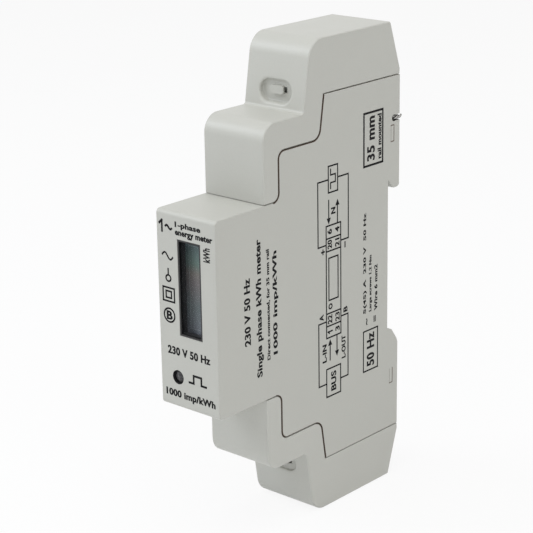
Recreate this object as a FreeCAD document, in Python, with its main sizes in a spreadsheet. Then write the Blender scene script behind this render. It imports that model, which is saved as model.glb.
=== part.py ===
import FreeCAD, Part
import math
import os

import Sketcher

# The meter stands as it hangs on its rail: X across the module, -Y towards the
# reader, +Z up. The origin is the middle of the rail seat. Every length is in
# millimetres, and terms ending in _z or _y are distances from the origin.
SIZES = {
    # Outside of the module
    "width": 17.5,
    "front_to_seat": 59.5,
    "back_depth": 3.8,
    "nose_height": 45.0,
    "nose_depth": 15.5,
    "shoulder_height": 80.5,
    "total_height": 112.2,
    # Stepped fronts of the case, under the terminal covers
    "signal_front_depth": 20.4,
    "signal_shelf_z": 33.6,
    "power_front_depth": 34.2,
    "power_front_lean": 1.6,
    "case_end_z": 43.5,
    "nose_edge_round": 1.0,
    "side_edge_break": 0.25,
    "step_inner_round": 1.9,
    "step_outer_round": 1.9,
    "shelf_inner_round": 2.6,
    # Walls
    "face_wall": 1.5,
    "side_wall": 1.3,
    "lid_wall": 1.2,
    "edge_wall": 1.4,
    "lid_ledge": 0.8,
    "lid_gap": 0.06,
    "rear_wall": 1.5,
    # Rail seat, hook and clip
    "seat_relief": 0.25,
    "seat_rib_half": 16.0,
    "seat_rib_width": 8.0,
    "rail_half": 17.5,
    "rail_edge": 1.0,
    "hook_play": 1.15,
    "hook_grip": 0.8,
    "clip_gap": 0.2,
    "clip_flange_width": 10.4,
    "clip_flange": 1.0,
    "clip_width": 7.8,
    "clip_grip": 1.1,
    "clip_tab": 3.5,
    "spring_slot_top_z": 27.0,
    "spring_length": 9.0,
    "spring_half_width": 1.0,
    "spring_wire": 0.3,
    "stop_post": 1.5,
    # Terminal covers
    "cover_wall": 1.3,
    "cover_side_wall": 1.2,
    "cover_gap": 0.15,
    "cover_front_lean": 2.5,
    "cover_lower_depth": 28.9,
    "cover_shoulder_round": 4.1,
    "cover_corner_round": 4.8,
    "cover_step_round": 0.8,
    "cover_edge_break": 0.35,
    "cover_chamfer_depth": 3.6,
    "cover_foot": 1.4,
    # Sealing eye in each cover
    "seal_above_step": 3.85,
    "seal_dish_width": 9.1,
    "seal_dish_height": 5.0,
    "seal_dish_depth": 1.3,
    "seal_bar_width": 3.9,
    "seal_bar_height": 1.9,
    "seal_bar_rise": 0.3,
    "seal_bar_inset": 0.45,
    "seal_bar_skin": 0.5,
    "seal_hole_height": 1.3,
    "seal_hole_depth": 1.4,
    "seal_hole_past": 0.55,
    "seal_backing": 1.9,
    # Display in the nose
    "window_left": -2.55,
    "window_right": 4.25,
    "window_bottom": -5.3,
    "window_top": 16.65,
    "bezel_gap": 0.05,
    "bezel_wall": 0.4,
    "pane": 0.8,
    "pane_inset": 0.1,
    "bezel_margin_x": 2.5,
    "bezel_side_gap": 0.7,
    "bezel_margin_z": 2.7,
    "bezel_skirt": 0.7,
    "lcd_depth": 2.1,
    "lcd": 1.8,
    "strip_width": 1.6,
    "display_board_depth": 7.3,
    "board": 1.2,
    "led_x": -3.48,
    "led_z": -15.24,
    "led_radius": 1.5,
    "led_gap": 0.15,
    "led_inset": 0.35,
    "led_crown": 0.6,
    # Main board, upright beside the right wall
    "board_stand": 1.4,
    "board_front_depth": 9.2,
    "board_nose_half": 20.6,
    "board_rear_half": 25.5,
    "board_rear_margin": 1.0,
    "board_grid": 1.0,
    "lid_clearance": 1.4,
    # Screw clamps
    "clamp_side_gap": 0.3,
    "clamp_divider_gap": 0.45,
    "clamp_wall": 0.8,
    "divider": 0.8,
    "signal_z": 28.2,
    "signal_length": 6.2,
    "signal_head": 1.6,
    "signal_head_radius": 2.2,
    "signal_screw_radius": 1.45,
    "signal_travel": 2.8,
    "signal_top": 1.2,
    "signal_tang": 0.8,
    "signal_wire": 3.1,
    "signal_wire_radius": 1.6,
    "power_z": 38.4,
    "power_length": 6.4,
    "power_head": 2.2,
    "power_head_inset": 0.15,
    "power_screw_radius": 1.95,
    "power_travel": 4.6,
    "power_top": 1.5,
    "power_tang": 1.2,
    "power_wire": 5.0,
    "thread_gap": 0.05,
    "head_gap": 0.2,
    "clamp_gap": 0.25,
    "driver_slot": 0.9,
    # Lead-seal wire in the side of the case
    "seal_wire_radius": 0.5,
    "seal_wire_y": 2.0,
    "seal_wire_z": 33.5,
    "seal_wire_reach": 4.7,
    "seal_wire_play": 0.3,
    "seal_wire_proud": 0.2,
    "seal_groove": 0.86,
}


class Size:
    """A length: its value now, and the spreadsheet expression that drives it."""

    def __init__(self, value, text):
        self.value = float(value)
        self.text = text

    def __add__(self, other):
        other = as_size(other)
        return Size(self.value + other.value, f"({self.text} + {other.text})")

    def __sub__(self, other):
        other = as_size(other)
        return Size(self.value - other.value, f"({self.text} - {other.text})")

    def __mul__(self, other):
        other = as_size(other)
        return Size(self.value * other.value, f"({self.text} * {other.text})")

    def __truediv__(self, other):
        other = as_size(other)
        return Size(self.value / other.value, f"({self.text} / {other.text})")

    def __neg__(self):
        return Size(-self.value, f"(0 - {self.text})")


def as_size(value):
    return value if isinstance(value, Size) else Size(value, f"({value})")


class Sizes:
    """The spreadsheet's cells, each as an attribute with the cell's alias."""

    def __init__(self, sheet):
        for name in SIZES:
            setattr(self, name, Size(sheet.get(name), f"Sizes.{name}"))


def make_sheet(doc):
    sheet = doc.addObject("Spreadsheet::Sheet", "Sizes")
    for row, (name, value) in enumerate(SIZES.items(), 1):
        sheet.set(f"A{row}", name)
        sheet.set(f"B{row}", str(value))
        sheet.setAlias(f"B{row}", name)
    doc.recompute()
    return sheet


doc = FreeCAD.newDocument("energy_meter")
size = Sizes(make_sheet(doc))

# Places that several pieces share
half = size.width / 2
front = -size.front_to_seat
rear = size.back_depth
nose_z = size.nose_height / 2
shoulder_y = front + size.nose_depth
signal_y = front + size.signal_front_depth
power_y = front + size.power_front_depth
power_end_y = power_y + size.power_front_lean
shoulder_z = size.shoulder_height / 2
end_z = size.total_height / 2
lower_y = front + size.cover_lower_depth
lower_end_y = lower_y + size.cover_front_lean
right_inside = half - size.side_wall
left_inside = -half + size.lid_wall
hook_z = size.rail_half + size.hook_play
slot_bottom_z = -size.rail_half - 0.2
seat_edge = -size.seat_relief
clip_floor = size.rail_edge - size.clip_gap
board_right = right_inside - size.board_stand
board_face = board_right - size.board
board_front = front + size.board_front_depth
display_board_y = front + size.display_board_depth
bezel_right = right_inside - size.bezel_side_gap
seal_z = shoulder_z + size.seal_above_step

# Each clamp fills the room between the divider and a side wall
clamp_width = right_inside - size.divider / 2 - size.clamp_divider_gap - size.clamp_side_gap
clamp_x = right_inside - size.clamp_side_gap - clamp_width / 2
clamp_reach = clamp_width / 2 - size.clamp_wall
power_head_radius = clamp_width / 2 - size.power_head_inset

# Depths of the clamp parts, from the head behind the front wall to the wire
signal_head_y = signal_y + size.edge_wall + size.head_gap
signal_top_y = signal_head_y + size.signal_head + size.signal_travel + size.clamp_gap
signal_tang_y = signal_top_y + size.signal_top + size.clamp_gap
signal_wire_y = signal_tang_y + size.signal_tang
signal_floor_y = signal_wire_y + size.signal_wire
power_head_y = power_end_y + size.edge_wall + size.head_gap
power_top_y = power_head_y + size.power_head + size.power_travel + size.clamp_gap
power_tang_y = power_top_y + size.power_top + size.clamp_gap
power_wire_y = power_tang_y + size.power_tang
power_floor_y = power_wire_y + size.power_wire

# Chambers of the clamps, between the walls of the case
signal_room_y = (signal_y + size.edge_wall, signal_floor_y + size.clamp_wall + size.clamp_gap)
signal_room_z = (
    size.signal_z - size.signal_length / 2 - size.clamp_gap,
    size.signal_shelf_z - size.edge_wall,
)
power_room_y = (power_end_y + size.edge_wall, power_floor_y + size.clamp_wall + size.clamp_gap)
power_room_z = (
    size.power_z - size.power_length / 2 - size.clamp_gap,
    size.case_end_z - size.edge_wall,
)

PLANES = {"XY": 1, "XZ": -1, "YZ": 1}


def bind(thing, prop, value):
    """Drive one property of an object by an expression of the sheet's cells."""
    thing.setExpression(prop, as_size(value).text)


def new_body(name):
    body = doc.addObject("PartDesign::Body", name)
    body.Label = name
    return body


def move(thing, x=0, y=0, z=0):
    """Place a sub-part, bound to the sheet."""
    bind(thing, "Placement.Base.x", x)
    bind(thing, "Placement.Base.y", y)
    bind(thing, "Placement.Base.z", z)


def rectangle(u_low, u_high, v_low, v_high):
    return [(u_low, v_low), (u_high, v_low), (u_high, v_high), (u_low, v_high)]


def square(u, v, reach):
    return rectangle(as_size(u) - reach, as_size(u) + reach, as_size(v) - reach, as_size(v) + reach)


def circle(u, v, radius):
    return {"centre": (u, v), "radius": radius}


def new_sketch(body, name, plane, height):
    sketch = body.newObject("Sketcher::SketchObject", name)
    for feature in body.Origin.OriginFeatures:
        if feature.Role == f"{plane}_Plane":
            sketch.AttachmentSupport = [(feature, "")]
    sketch.MapMode = "FlatFace"
    bind(sketch, "AttachmentOffset.Base.z", as_size(height) * PLANES[plane])
    return sketch


def pin_point(sketch, item, end, point):
    """Hold one point of a sketch at its place from the origin."""
    for kind, place in zip(("DistanceX", "DistanceY"), point):
        place = as_size(place)
        index = sketch.addConstraint(Sketcher.Constraint(kind, item, end, place.value))
        bind(sketch, f"Constraints[{index}]", place)


def tangent_points(corner, before, after, radius):
    """Where an arc leaves one side of a corner, crosses its middle and joins the other."""
    back = (before - corner).normalize()
    ahead = (after - corner).normalize()
    half_angle = back.getAngle(ahead) / 2
    middle = (back + ahead).normalize()
    reach = radius / math.tan(half_angle)
    depth = radius / math.sin(half_angle) - radius
    return corner + back * reach, corner + middle * depth, corner + ahead * reach


def draw_outline(sketch, corners):
    """Draw a closed outline. A corner with a third term is rounded by that radius."""
    points = [FreeCAD.Vector(as_size(c[0]).value, as_size(c[1]).value, 0) for c in corners]
    count = len(points)
    starts, ends, arcs = list(points), list(points), {}
    for index, corner in enumerate(corners):
        if len(corner) < 3:
            continue
        before, after = points[index - 1], points[(index + 1) % count]
        arc = tangent_points(points[index], before, after, as_size(corner[2]).value)
        ends[index], starts[index] = arc[0], arc[2]
        arcs[index] = sketch.addGeometry(Part.Arc(*arc), False)
    lines = []
    for index in range(count):
        line = Part.LineSegment(starts[index], ends[(index + 1) % count])
        lines.append(sketch.addGeometry(line, False))
    for index, corner in enumerate(corners):
        into, out = lines[index - 1], lines[index]
        if index not in arcs:
            sketch.addConstraint(Sketcher.Constraint("Coincident", into, 2, out, 1))
            pin_point(sketch, out, 1, corner[:2])
            continue
        arc = arcs[index]
        first = 1 if (sketch.getPoint(arc, 1) - ends[index]).Length < 1e-6 else 2
        sketch.addConstraint(Sketcher.Constraint("Tangent", into, 2, arc, first))
        sketch.addConstraint(Sketcher.Constraint("Tangent", arc, 3 - first, out, 1))
        item = sketch.addGeometry(Part.Point(points[index]), True)
        pin_point(sketch, item, 1, corner[:2])
        sketch.addConstraint(Sketcher.Constraint("PointOnObject", item, 1, into))
        sketch.addConstraint(Sketcher.Constraint("PointOnObject", item, 1, out))
        radius = as_size(corner[2])
        number = sketch.addConstraint(Sketcher.Constraint("Radius", arc, radius.value))
        bind(sketch, f"Constraints[{number}]", radius)


def draw(sketch, shape):
    """Draw a circle, or a closed outline through a list of corners."""
    if isinstance(shape, dict):
        u, v = (as_size(place) for place in shape["centre"])
        radius = as_size(shape["radius"])
        centre = FreeCAD.Vector(u.value, v.value, 0)
        edge = Part.Circle(centre, FreeCAD.Vector(0, 0, 1), radius.value)
        item = sketch.addGeometry(edge, False)
        pin_point(sketch, item, 3, (u, v))
        index = sketch.addConstraint(Sketcher.Constraint("Radius", item, radius.value))
        bind(sketch, f"Constraints[{index}]", radius)
        return
    draw_outline(sketch, shape)


def finish_feature(body, feature, grows):
    """Recompute, and make sure that the feature added or took material."""
    before = feature.BaseFeature.Shape.Volume if feature.BaseFeature else 0
    doc.recompute()
    if (feature.Shape.Volume > before) != grows:
        raise RuntimeError(f"{body.Label}: {feature.Label} didn't change the solid")
    return feature


def add(body, name, plane, low, high, *shapes):
    """Pad the shapes from one height to another along the plane's axis."""
    low, high = as_size(low), as_size(high)
    sketch = new_sketch(body, f"{body.Label}_{name}_sketch", plane, low if PLANES[plane] > 0 else high)
    for shape in shapes:
        draw(sketch, shape)
    pad = body.newObject("PartDesign::Pad", f"{body.Label}_{name}")
    pad.Profile = sketch
    bind(pad, "Length", high - low)
    return finish_feature(body, pad, True)


def cut(body, name, plane, low, high, *shapes):
    """Pocket the shapes from one height to another along the plane's axis."""
    low, high = as_size(low), as_size(high)
    sketch = new_sketch(body, f"{body.Label}_{name}_sketch", plane, high if PLANES[plane] > 0 else low)
    for shape in shapes:
        draw(sketch, shape)
    pocket = body.newObject("PartDesign::Pocket", f"{body.Label}_{name}")
    pocket.Profile = sketch
    bind(pocket, "Length", high - low)
    return finish_feature(body, pocket, False)


def turn(body, name, plane, outline):
    """Revolve an outline about the sketch's vertical axis."""
    sketch = new_sketch(body, f"{body.Label}_{name}_sketch", plane, 0)
    draw(sketch, outline)
    solid = body.newObject("PartDesign::Revolution", f"{body.Label}_{name}")
    solid.Profile = sketch
    solid.ReferenceAxis = (sketch, ["V_Axis"])
    solid.Angle = 360
    return finish_feature(body, solid, True)


def straight_edges(shape, along, places):
    """Names of the edges along an axis that pass through the given places."""
    axis = "XYZ".index(along)
    others = [index for index in range(3) if index != axis]
    names = []
    for number, edge in enumerate(shape.Edges, 1):
        start, end = edge.Vertexes[0].Point, edge.Vertexes[-1].Point
        for place in places:
            wanted = [as_size(value).value for value in place]
            gaps = [abs(point[i] - value) for point in (start, end) for i, value in zip(others, wanted)]
            if max(gaps) < 0.01 and abs(start[axis] - end[axis]) > 0.1:
                names.append(f"Edge{number}")
    return names


def round_edges(body, name, radius, along, places, kind="Fillet"):
    """Fillet or chamfer the edges along an axis at the given places."""
    base = body.Tip
    names = straight_edges(base.Shape, along, places)
    if not names:
        raise RuntimeError(f"{body.Label}: no edge for {name}")
    feature = body.newObject(f"PartDesign::{kind}", f"{body.Label}_{name}")
    feature.Base = (base, names)
    bind(feature, "Radius" if kind == "Fillet" else "Size", radius)
    doc.recompute()
    if "Invalid" in feature.State:
        raise RuntimeError(f"{body.Label}: {name} can't be rounded")
    return feature


def block(name, x, y, z, radius=None, along="X"):
    """A plain moulded block between pairs of heights, with its long edges rounded."""
    body = new_body(name)
    add(body, "block", "YZ", x[0], x[1], rectangle(y[0], y[1], z[0], z[1]))
    if radius:
        places = {
            "X": [(a, b) for a in y for b in z],
            "Y": [(a, b) for a in x for b in z],
            "Z": [(a, b) for a in x for b in y],
        }
        round_edges(body, "edges", radius, along, places[along])
    return body


def both_ends(points):
    """An upper half outline from front to rear, completed by its mirror image."""
    return points + lower_half(points)


def steps(inset):
    """The case's stepped front, from the nose to the end, set in by an amount."""
    inset = as_size(inset)
    return [
        (front + inset, nose_z - inset, size.nose_edge_round),
        (signal_y + inset, nose_z - inset, size.step_inner_round + inset),
        (signal_y + inset, size.signal_shelf_z - inset, size.step_outer_round - inset),
        (power_y + inset, size.signal_shelf_z - inset, size.shelf_inner_round + inset),
        (power_end_y + inset, size.case_end_z - inset),
    ]


def lower_half(upper):
    """The mirror image of an upper stretch of outline, running back."""
    return mirrored_in_z(list(reversed(upper)), -1)


def case_outline():
    """The case from the side: stepped front, rear face, rail hook and seat."""
    hook = [
        (rear, size.case_end_z),
        (rear, size.rail_half - 0.4),
        (rear - 0.6, size.rail_half - size.hook_grip),
        (rear - 1.9, size.rail_half - size.hook_grip),
        (rear - 2.4, size.rail_half - size.hook_grip + 0.3),
        (seat_edge, hook_z),
    ]
    lead_in = [
        (seat_edge, slot_bottom_z),
        (rear - 2.3, slot_bottom_z - 0.8),
        (rear - 0.4, slot_bottom_z - 3.5),
        (rear, slot_bottom_z - 4.6),
        (rear, -size.case_end_z),
    ]
    return steps(0) + hook + lead_in + lower_half(steps(0))


def lid_outline(inset):
    """The lid's edge: the case's steps, and a plain notch round the rail slot."""
    inset = as_size(inset)
    notch = [
        (rear - inset, size.case_end_z - inset),
        (rear - inset, hook_z + inset + 1),
        (seat_edge - inset, hook_z + inset + 1),
    ]
    lower_notch = [
        (seat_edge - inset, slot_bottom_z - 5),
        (rear - inset, slot_bottom_z - 5),
        (rear - inset, -size.case_end_z + inset),
    ]
    square_steps = [corner[:2] for corner in steps(inset)]
    return square_steps + notch + lower_notch + lower_half(square_steps)


def mirrored_in_z(outline, side):
    return [(corner[0], as_size(corner[1]) * side) + tuple(corner[2:]) for corner in outline]


def make_case_body():
    body = new_body("case_body")
    add(body, "profile", "YZ", -half, half, case_outline())
    sides = [(half, front), (-half, front)]
    round_edges(body, "side_edges", size.side_edge_break, "Z", sides, "Chamfer")
    cut_cavities(body)
    cut(body, "lid_recess", "YZ", -half, left_inside, lid_outline(size.lid_ledge))
    cut_nose_openings(body)
    cut_clamp_openings(body)
    add_board_posts(body)
    shape_rail_side(body)
    return body


def cut_cavities(body):
    """Rooms for the electronics and the clamps, moulded from the lid's side."""
    inside = nose_z - size.edge_wall
    waist = signal_room_z[0] - size.edge_wall
    room = power_room_z[0] - size.edge_wall
    rear_inside = seat_edge - size.rear_wall
    main = both_ends(
        [
            (front + size.face_wall, inside),
            (signal_y, inside),
            (signal_y, waist),
            (signal_room_y[1] + size.edge_wall, waist),
            (signal_room_y[1] + size.edge_wall, room),
            (rear_inside, room),
        ]
    )
    cut(body, "main_room", "YZ", -half, right_inside, main)
    for side, end in ((1, "top"), (-1, "bottom")):
        rooms = [
            mirrored_in_z(rectangle(*signal_room_y, *signal_room_z), side),
            mirrored_in_z(rectangle(*power_room_y, *power_room_z), side),
        ]
        cut(body, f"{end}_clamp_rooms", "YZ", -half, right_inside, *rooms)
        low, high = signal_room_z[0] - size.edge_wall, signal_room_z[0]
        slots = [tang_slot(x, low, high, side, 1.8) for x in (-clamp_x, clamp_x)]
        depth = (signal_tang_y - size.clamp_gap, signal_wire_y + size.clamp_gap)
        cut(body, f"{end}_signal_slots", "XZ", *depth, *slots)
        low, high = power_room_z[0] - size.edge_wall, power_room_z[0]
        slots = [tang_slot(x, low, high, side, clamp_reach) for x in (-clamp_x, clamp_x)]
        depth = (power_tang_y - size.clamp_gap, power_wire_y + size.clamp_gap)
        cut(body, f"{end}_power_slots", "XZ", *depth, *slots)


def tang_slot(x, low, high, side, half_slot):
    """A slot in a room's inner wall that one flat tang passes through."""
    corners = rectangle(x - half_slot, x + half_slot, low, high)
    return mirrored_in_z(corners, side)


def window_corners(margin):
    """The display window's opening, grown or shrunk by a margin."""
    margin = as_size(margin)
    return rectangle(
        size.window_left - margin,
        size.window_right + margin,
        size.window_bottom - margin,
        size.window_top + margin,
    )


def cut_nose_openings(body):
    hole = circle(size.led_x, size.led_z, size.led_radius + size.led_gap)
    cut(body, "face_openings", "XZ", front, front + size.face_wall, window_corners(0), hole)


def cut_clamp_openings(body):
    """Driver holes in the fronts and wire holes in the shelves and ends."""
    places = [(x, size.signal_z * side) for x in (-clamp_x, clamp_x) for side in (1, -1)]
    holes = [circle(x, z, size.signal_head_radius - 0.3) for x, z in places]
    cut(body, "signal_driver_holes", "XZ", signal_y, signal_y + size.edge_wall, *holes)
    places = [(x, size.power_z * side) for x in (-clamp_x, clamp_x) for side in (1, -1)]
    holes = [circle(x, z, power_head_radius - 0.4) for x, z in places]
    cut(body, "power_driver_holes", "XZ", power_y, power_room_y[0], *holes)
    wire_y = signal_wire_y + size.signal_wire / 2
    round_holes = [circle(x, wire_y, size.signal_wire_radius) for x in (-clamp_x, clamp_x)]
    square_holes = []
    for x in (-clamp_x, clamp_x):
        square_holes.append(rectangle(x - clamp_reach, x + clamp_reach, power_wire_y, power_floor_y))
    for side, end in ((1, "top"), (-1, "bottom")):
        shelf = sorted_pair(signal_room_z[1] * side, size.signal_shelf_z * side)
        cut(body, f"{end}_signal_wire_holes", "XY", *shelf, *round_holes)
        wall = sorted_pair(power_room_z[1] * side, size.case_end_z * side)
        cut(body, f"{end}_power_wire_holes", "XY", *wall, *square_holes)


def sorted_pair(first, second):
    return (first, second) if first.value < second.value else (second, first)


def add_board_posts(body):
    """Square posts on the right wall that the main board stands on."""
    places = [(board_front + 6, 15), (board_front + 6, -15), (-9, 20), (-9, -20)]
    posts = [square(y, z, 1.2) for y, z in places]
    add(body, "board_posts", "YZ", board_right, right_inside, *posts)


def shape_rail_side(body):
    """The seat rib, the clip's guide and the seal wire's groove."""
    rib = rectangle(
        -size.seat_rib_width / 2, size.seat_rib_width / 2, -size.seat_rib_half, size.seat_rib_half
    )
    add(body, "seat_rib", "XZ", seat_edge, 0, rib)
    guide_half = size.clip_flange_width / 2 + size.clip_gap
    mouth_half = size.clip_width / 2 + size.clip_gap
    groove_rear = clip_floor + size.clip_gap + size.clip_flange + size.clip_gap
    low, high = -size.case_end_z, slot_bottom_z + 1
    groove = rectangle(-guide_half, guide_half, low, high)
    cut(body, "clip_guide", "XZ", clip_floor, groove_rear, groove)
    mouth = rectangle(-mouth_half, mouth_half, low, high)
    cut(body, "clip_mouth", "XZ", groove_rear, rear, mouth)
    top = -size.spring_slot_top_z - size.spring_length - size.clip_gap
    post = rectangle(-0.9, 0.9, top - size.stop_post, top)
    add(body, "stop_post", "XZ", clip_floor, rear - 0.6, post)
    hole_y = size.seal_wire_y - size.seal_wire_play + 0.05
    hole = circle(hole_y, size.seal_wire_z, size.seal_wire_radius + size.seal_wire_play)
    cut(body, "seal_hole", "YZ", half - 3, half, hole)
    low = size.seal_wire_z - size.seal_wire_radius - 0.2
    high = size.seal_wire_z + size.seal_wire_radius + 0.2
    groove = rectangle(size.seal_wire_y, rear, low, high)
    cut(body, "seal_groove", "YZ", half - size.seal_groove, half, groove)


def make_side_lid():
    body = new_body("side_lid")
    outline = lid_outline(size.lid_ledge + size.lid_gap)
    add(body, "plate", "YZ", -half, left_inside, outline)
    pegs = [square(board_front + 6, z, 1.2) for z in (19, -19)]
    add(body, "pegs", "YZ", left_inside, left_inside + 3, *pegs)
    return body


def cover_outline():
    """The top cover from the side: shoulder, leaning front, end and rear chamfer."""
    gap = size.cover_gap
    seam = lower_half(mirrored_in_z(steps(-gap)[1:], -1))
    return [
        (shoulder_y, nose_z + gap),
        (shoulder_y, shoulder_z, size.cover_shoulder_round),
        (lower_y, shoulder_z, size.cover_step_round),
        (lower_end_y, end_z, size.cover_corner_round),
        (rear - size.cover_chamfer_depth, end_z),
        (rear, size.case_end_z + size.cover_foot),
        (rear, size.case_end_z + gap),
    ] + seam


def cover_hollow():
    """The room inside the cover, open towards the case and at the rear."""
    wall = size.cover_wall
    return [
        (shoulder_y + wall, nose_z - 1),
        (shoulder_y + wall, shoulder_z - wall, size.cover_shoulder_round - wall),
        (lower_y + wall, shoulder_z - wall),
        (lower_end_y + wall, end_z - wall, size.cover_corner_round - wall),
        (rear + 1, end_z - wall),
        (rear + 1, nose_z - 1),
    ]


def make_cover(name):
    """One terminal cover, drawn as the top one. The bottom one is turned over."""
    body = new_body(name)
    add(body, "profile", "YZ", -half, half, cover_outline())
    sides = [(half, shoulder_y), (-half, shoulder_y)]
    round_edges(body, "side_edges", size.cover_edge_break, "Z", sides, "Chamfer")
    inside = half - size.cover_side_wall
    cut(body, "hollow", "YZ", -inside, inside, cover_hollow())
    add_seal_eye(body)
    return body


def add_seal_eye(body):
    """A dished eye on the leaning front, with a bar that a seal wire passes behind."""
    middle_y = lower_y + size.cover_front_lean * (seal_z - shoulder_z) / (end_z - shoulder_z)
    dish_floor = middle_y + size.seal_dish_depth
    back = dish_floor + size.seal_backing
    half_w = size.seal_dish_width / 2
    half_h = size.seal_dish_height / 2
    low, high = seal_z - half_h - 0.6, seal_z + half_h + 0.6
    backing = rectangle(-half_w - 0.6, half_w + 0.6, low, high)
    add(body, "seal_backing", "XZ", middle_y + 0.9, back, backing)
    straight = half_w - half_h
    dish = rectangle(-straight, straight, seal_z - half_h, seal_z + half_h)
    ends = [circle(x, seal_z, half_h) for x in (-straight, straight)]
    cut(body, "dish", "XZ", lower_y - 0.5, dish_floor, dish)
    for number, end in enumerate(ends):
        cut(body, f"dish_end_{number}", "XZ", lower_y - 0.5, dish_floor, end)
    bar_half = size.seal_bar_width / 2
    bar_y = middle_y + size.seal_bar_inset
    bar_z = seal_z + size.seal_bar_rise
    bar_low = bar_z - size.seal_bar_height / 2
    bar_high = bar_z + size.seal_bar_height / 2
    bar = rectangle(-bar_half, bar_half, bar_low, bar_high)
    add(body, "seal_bar", "XZ", bar_y, dish_floor + 0.1, bar)
    edges = [(x, z) for x in (-bar_half, bar_half) for z in (bar_low, bar_high)]
    round_edges(body, "bar_ends", size.seal_bar_height / 2 - 0.3, "Y", edges)
    hole_y = bar_y + size.seal_bar_skin
    hole_half = bar_half + size.seal_hole_past
    low, high = bar_z - size.seal_hole_height / 2, bar_z + size.seal_hole_height / 2
    hole = rectangle(hole_y, hole_y + size.seal_hole_depth, low, high)
    cut(body, "seal_hole", "YZ", -hole_half, hole_half, hole)


def make_covers():
    make_cover("top_terminal_cover")
    bottom = make_cover("bottom_terminal_cover")
    half_turn = FreeCAD.Rotation(FreeCAD.Vector(0, 1, 0), 180)
    bottom.Placement = FreeCAD.Placement(FreeCAD.Vector(0, 0, 0), half_turn)


def make_display():
    """The clear pane, its black bezel, the display glass and its contact strips."""
    opening = size.bezel_gap
    flange_y = front + size.face_wall
    lcd_y = front + size.lcd_depth
    bezel = new_body("lcd_bezel")
    margin_x = size.bezel_margin_x
    margin_z = size.bezel_margin_z
    outside = rectangle(
        size.window_left - margin_x,
        bezel_right,
        size.window_bottom - margin_z,
        size.window_top + margin_z,
    )
    add(bezel, "skirt", "XZ", flange_y, display_board_y, outside)
    add(bezel, "tube", "XZ", front + size.pane_inset, flange_y, window_corners(-opening))
    lip = opening + size.bezel_wall
    cut(bezel, "aperture", "XZ", front + size.pane_inset, display_board_y, window_corners(-lip))
    skirt = size.bezel_skirt
    seat = [
        size.window_left - margin_x + skirt,
        bezel_right - skirt,
        size.window_bottom - margin_z + skirt,
        size.window_top + margin_z - skirt,
    ]
    cut(bezel, "glass_seat", "XZ", lcd_y, display_board_y, rectangle(*seat))
    pane = new_body("display_window")
    pane_y = front + size.pane_inset
    add(pane, "pane", "XZ", pane_y, pane_y + size.pane, window_corners(-lip))
    play = size.bezel_gap
    glass_x = (seat[0] + play, seat[1] - play)
    glass_z = (seat[2] + play, seat[3] - play)
    block("lcd_glass", glass_x, (lcd_y, lcd_y + size.lcd), glass_z)
    depth = (lcd_y + size.lcd, display_board_y)
    left = (glass_x[0], glass_x[0] + size.strip_width)
    right = (glass_x[1] - size.strip_width, glass_x[1])
    block("left_contact_strip", left, depth, glass_z)
    block("right_contact_strip", right, depth, glass_z)


def make_display_board():
    inside = nose_z - size.edge_wall - size.clamp_gap
    sides = (left_inside + size.clamp_gap, right_inside - size.clamp_gap)
    depth = (display_board_y, display_board_y + size.board)
    return block("display_board", sides, depth, (-inside, inside))


def make_pulse_led():
    """A 3 mm lamp: low crown, collar and two leads down to the display board."""
    body = new_body("pulse_led")
    tip = front + size.led_inset
    radius = size.led_radius
    collar_y = display_board_y - 2
    outline = [
        (0, collar_y),
        (radius + 0.4, collar_y),
        (radius + 0.4, collar_y - 1),
        (radius, collar_y - 1),
        (radius, tip + size.led_crown),
        (radius * 0.75, tip + size.led_crown * 0.3),
        (0, tip),
    ]
    turn(body, "lens", "XY", outline)
    leads = [rectangle(x - 0.25, x + 0.25, -0.25, 0.25) for x in (-1.27, 1.27)]
    add(body, "leads", "XZ", collar_y, display_board_y, *leads)
    move(body, size.led_x, 0, size.led_z)
    return body


def make_main_board():
    body = new_body("main_board")
    rear_edge = seat_edge - size.rear_wall - size.board_rear_margin
    neck_y = signal_room_y[1] + size.edge_wall + 0.6
    outline = both_ends(
        [
            (board_front, size.board_nose_half),
            (neck_y, size.board_nose_half),
            (neck_y, size.board_rear_half),
            (rear_edge, size.board_rear_half),
        ]
    )
    add(body, "board", "YZ", board_face, board_right, outline)
    return body


def make_board_connector():
    """A right-angled plug block between the two boards, with its row of pins."""
    body = new_body("board_connector")
    low, high = -17.5, -4.5
    back = display_board_y + size.board
    corners = [
        (board_face, back),
        (board_face, back + 3.4),
        (board_face - 2.5, back + 3.4),
        (board_face - 2.5, back),
    ]
    add(body, "block", "XY", low, high, corners)
    return body


def make_cage(name, x, z, sizes):
    """A clamp cage: a folded frame round the wire, with a threaded top plate."""
    top_y, top, floor_y, length, screw_radius = sizes
    body = new_body(name)
    outer = clamp_width / 2
    inner = clamp_reach
    wall = size.clamp_wall
    frame = rectangle(-outer, outer, top_y, floor_y + wall)
    opening = rectangle(-inner, inner, top_y + top, floor_y)
    add(body, "frame", "XY", -length / 2, length / 2, frame)
    cut(body, "opening", "XY", -length / 2, length / 2, opening)
    hole = circle(0, 0, screw_radius + size.thread_gap)
    cut(body, "thread", "XZ", top_y, top_y + top, hole)
    move(body, x, 0, z)
    return body


def make_screw(name, x, z, sizes):
    """A clamp screw: slotted cheese head and plain shank."""
    head_y, head, head_radius, radius, tip_y = sizes
    body = new_body(name)
    outline = [
        (0, head_y),
        (head_radius, head_y),
        (head_radius, head_y + head),
        (radius, head_y + head),
        (radius, tip_y),
        (0, tip_y),
    ]
    turn(body, "turned", "XY", outline)
    slot = rectangle(-head_radius, head_radius, -size.driver_slot / 2, size.driver_slot / 2)
    cut(body, "driver_slot", "XZ", head_y, head_y + head / 2, slot)
    move(body, x, 0, z)
    return body


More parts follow.
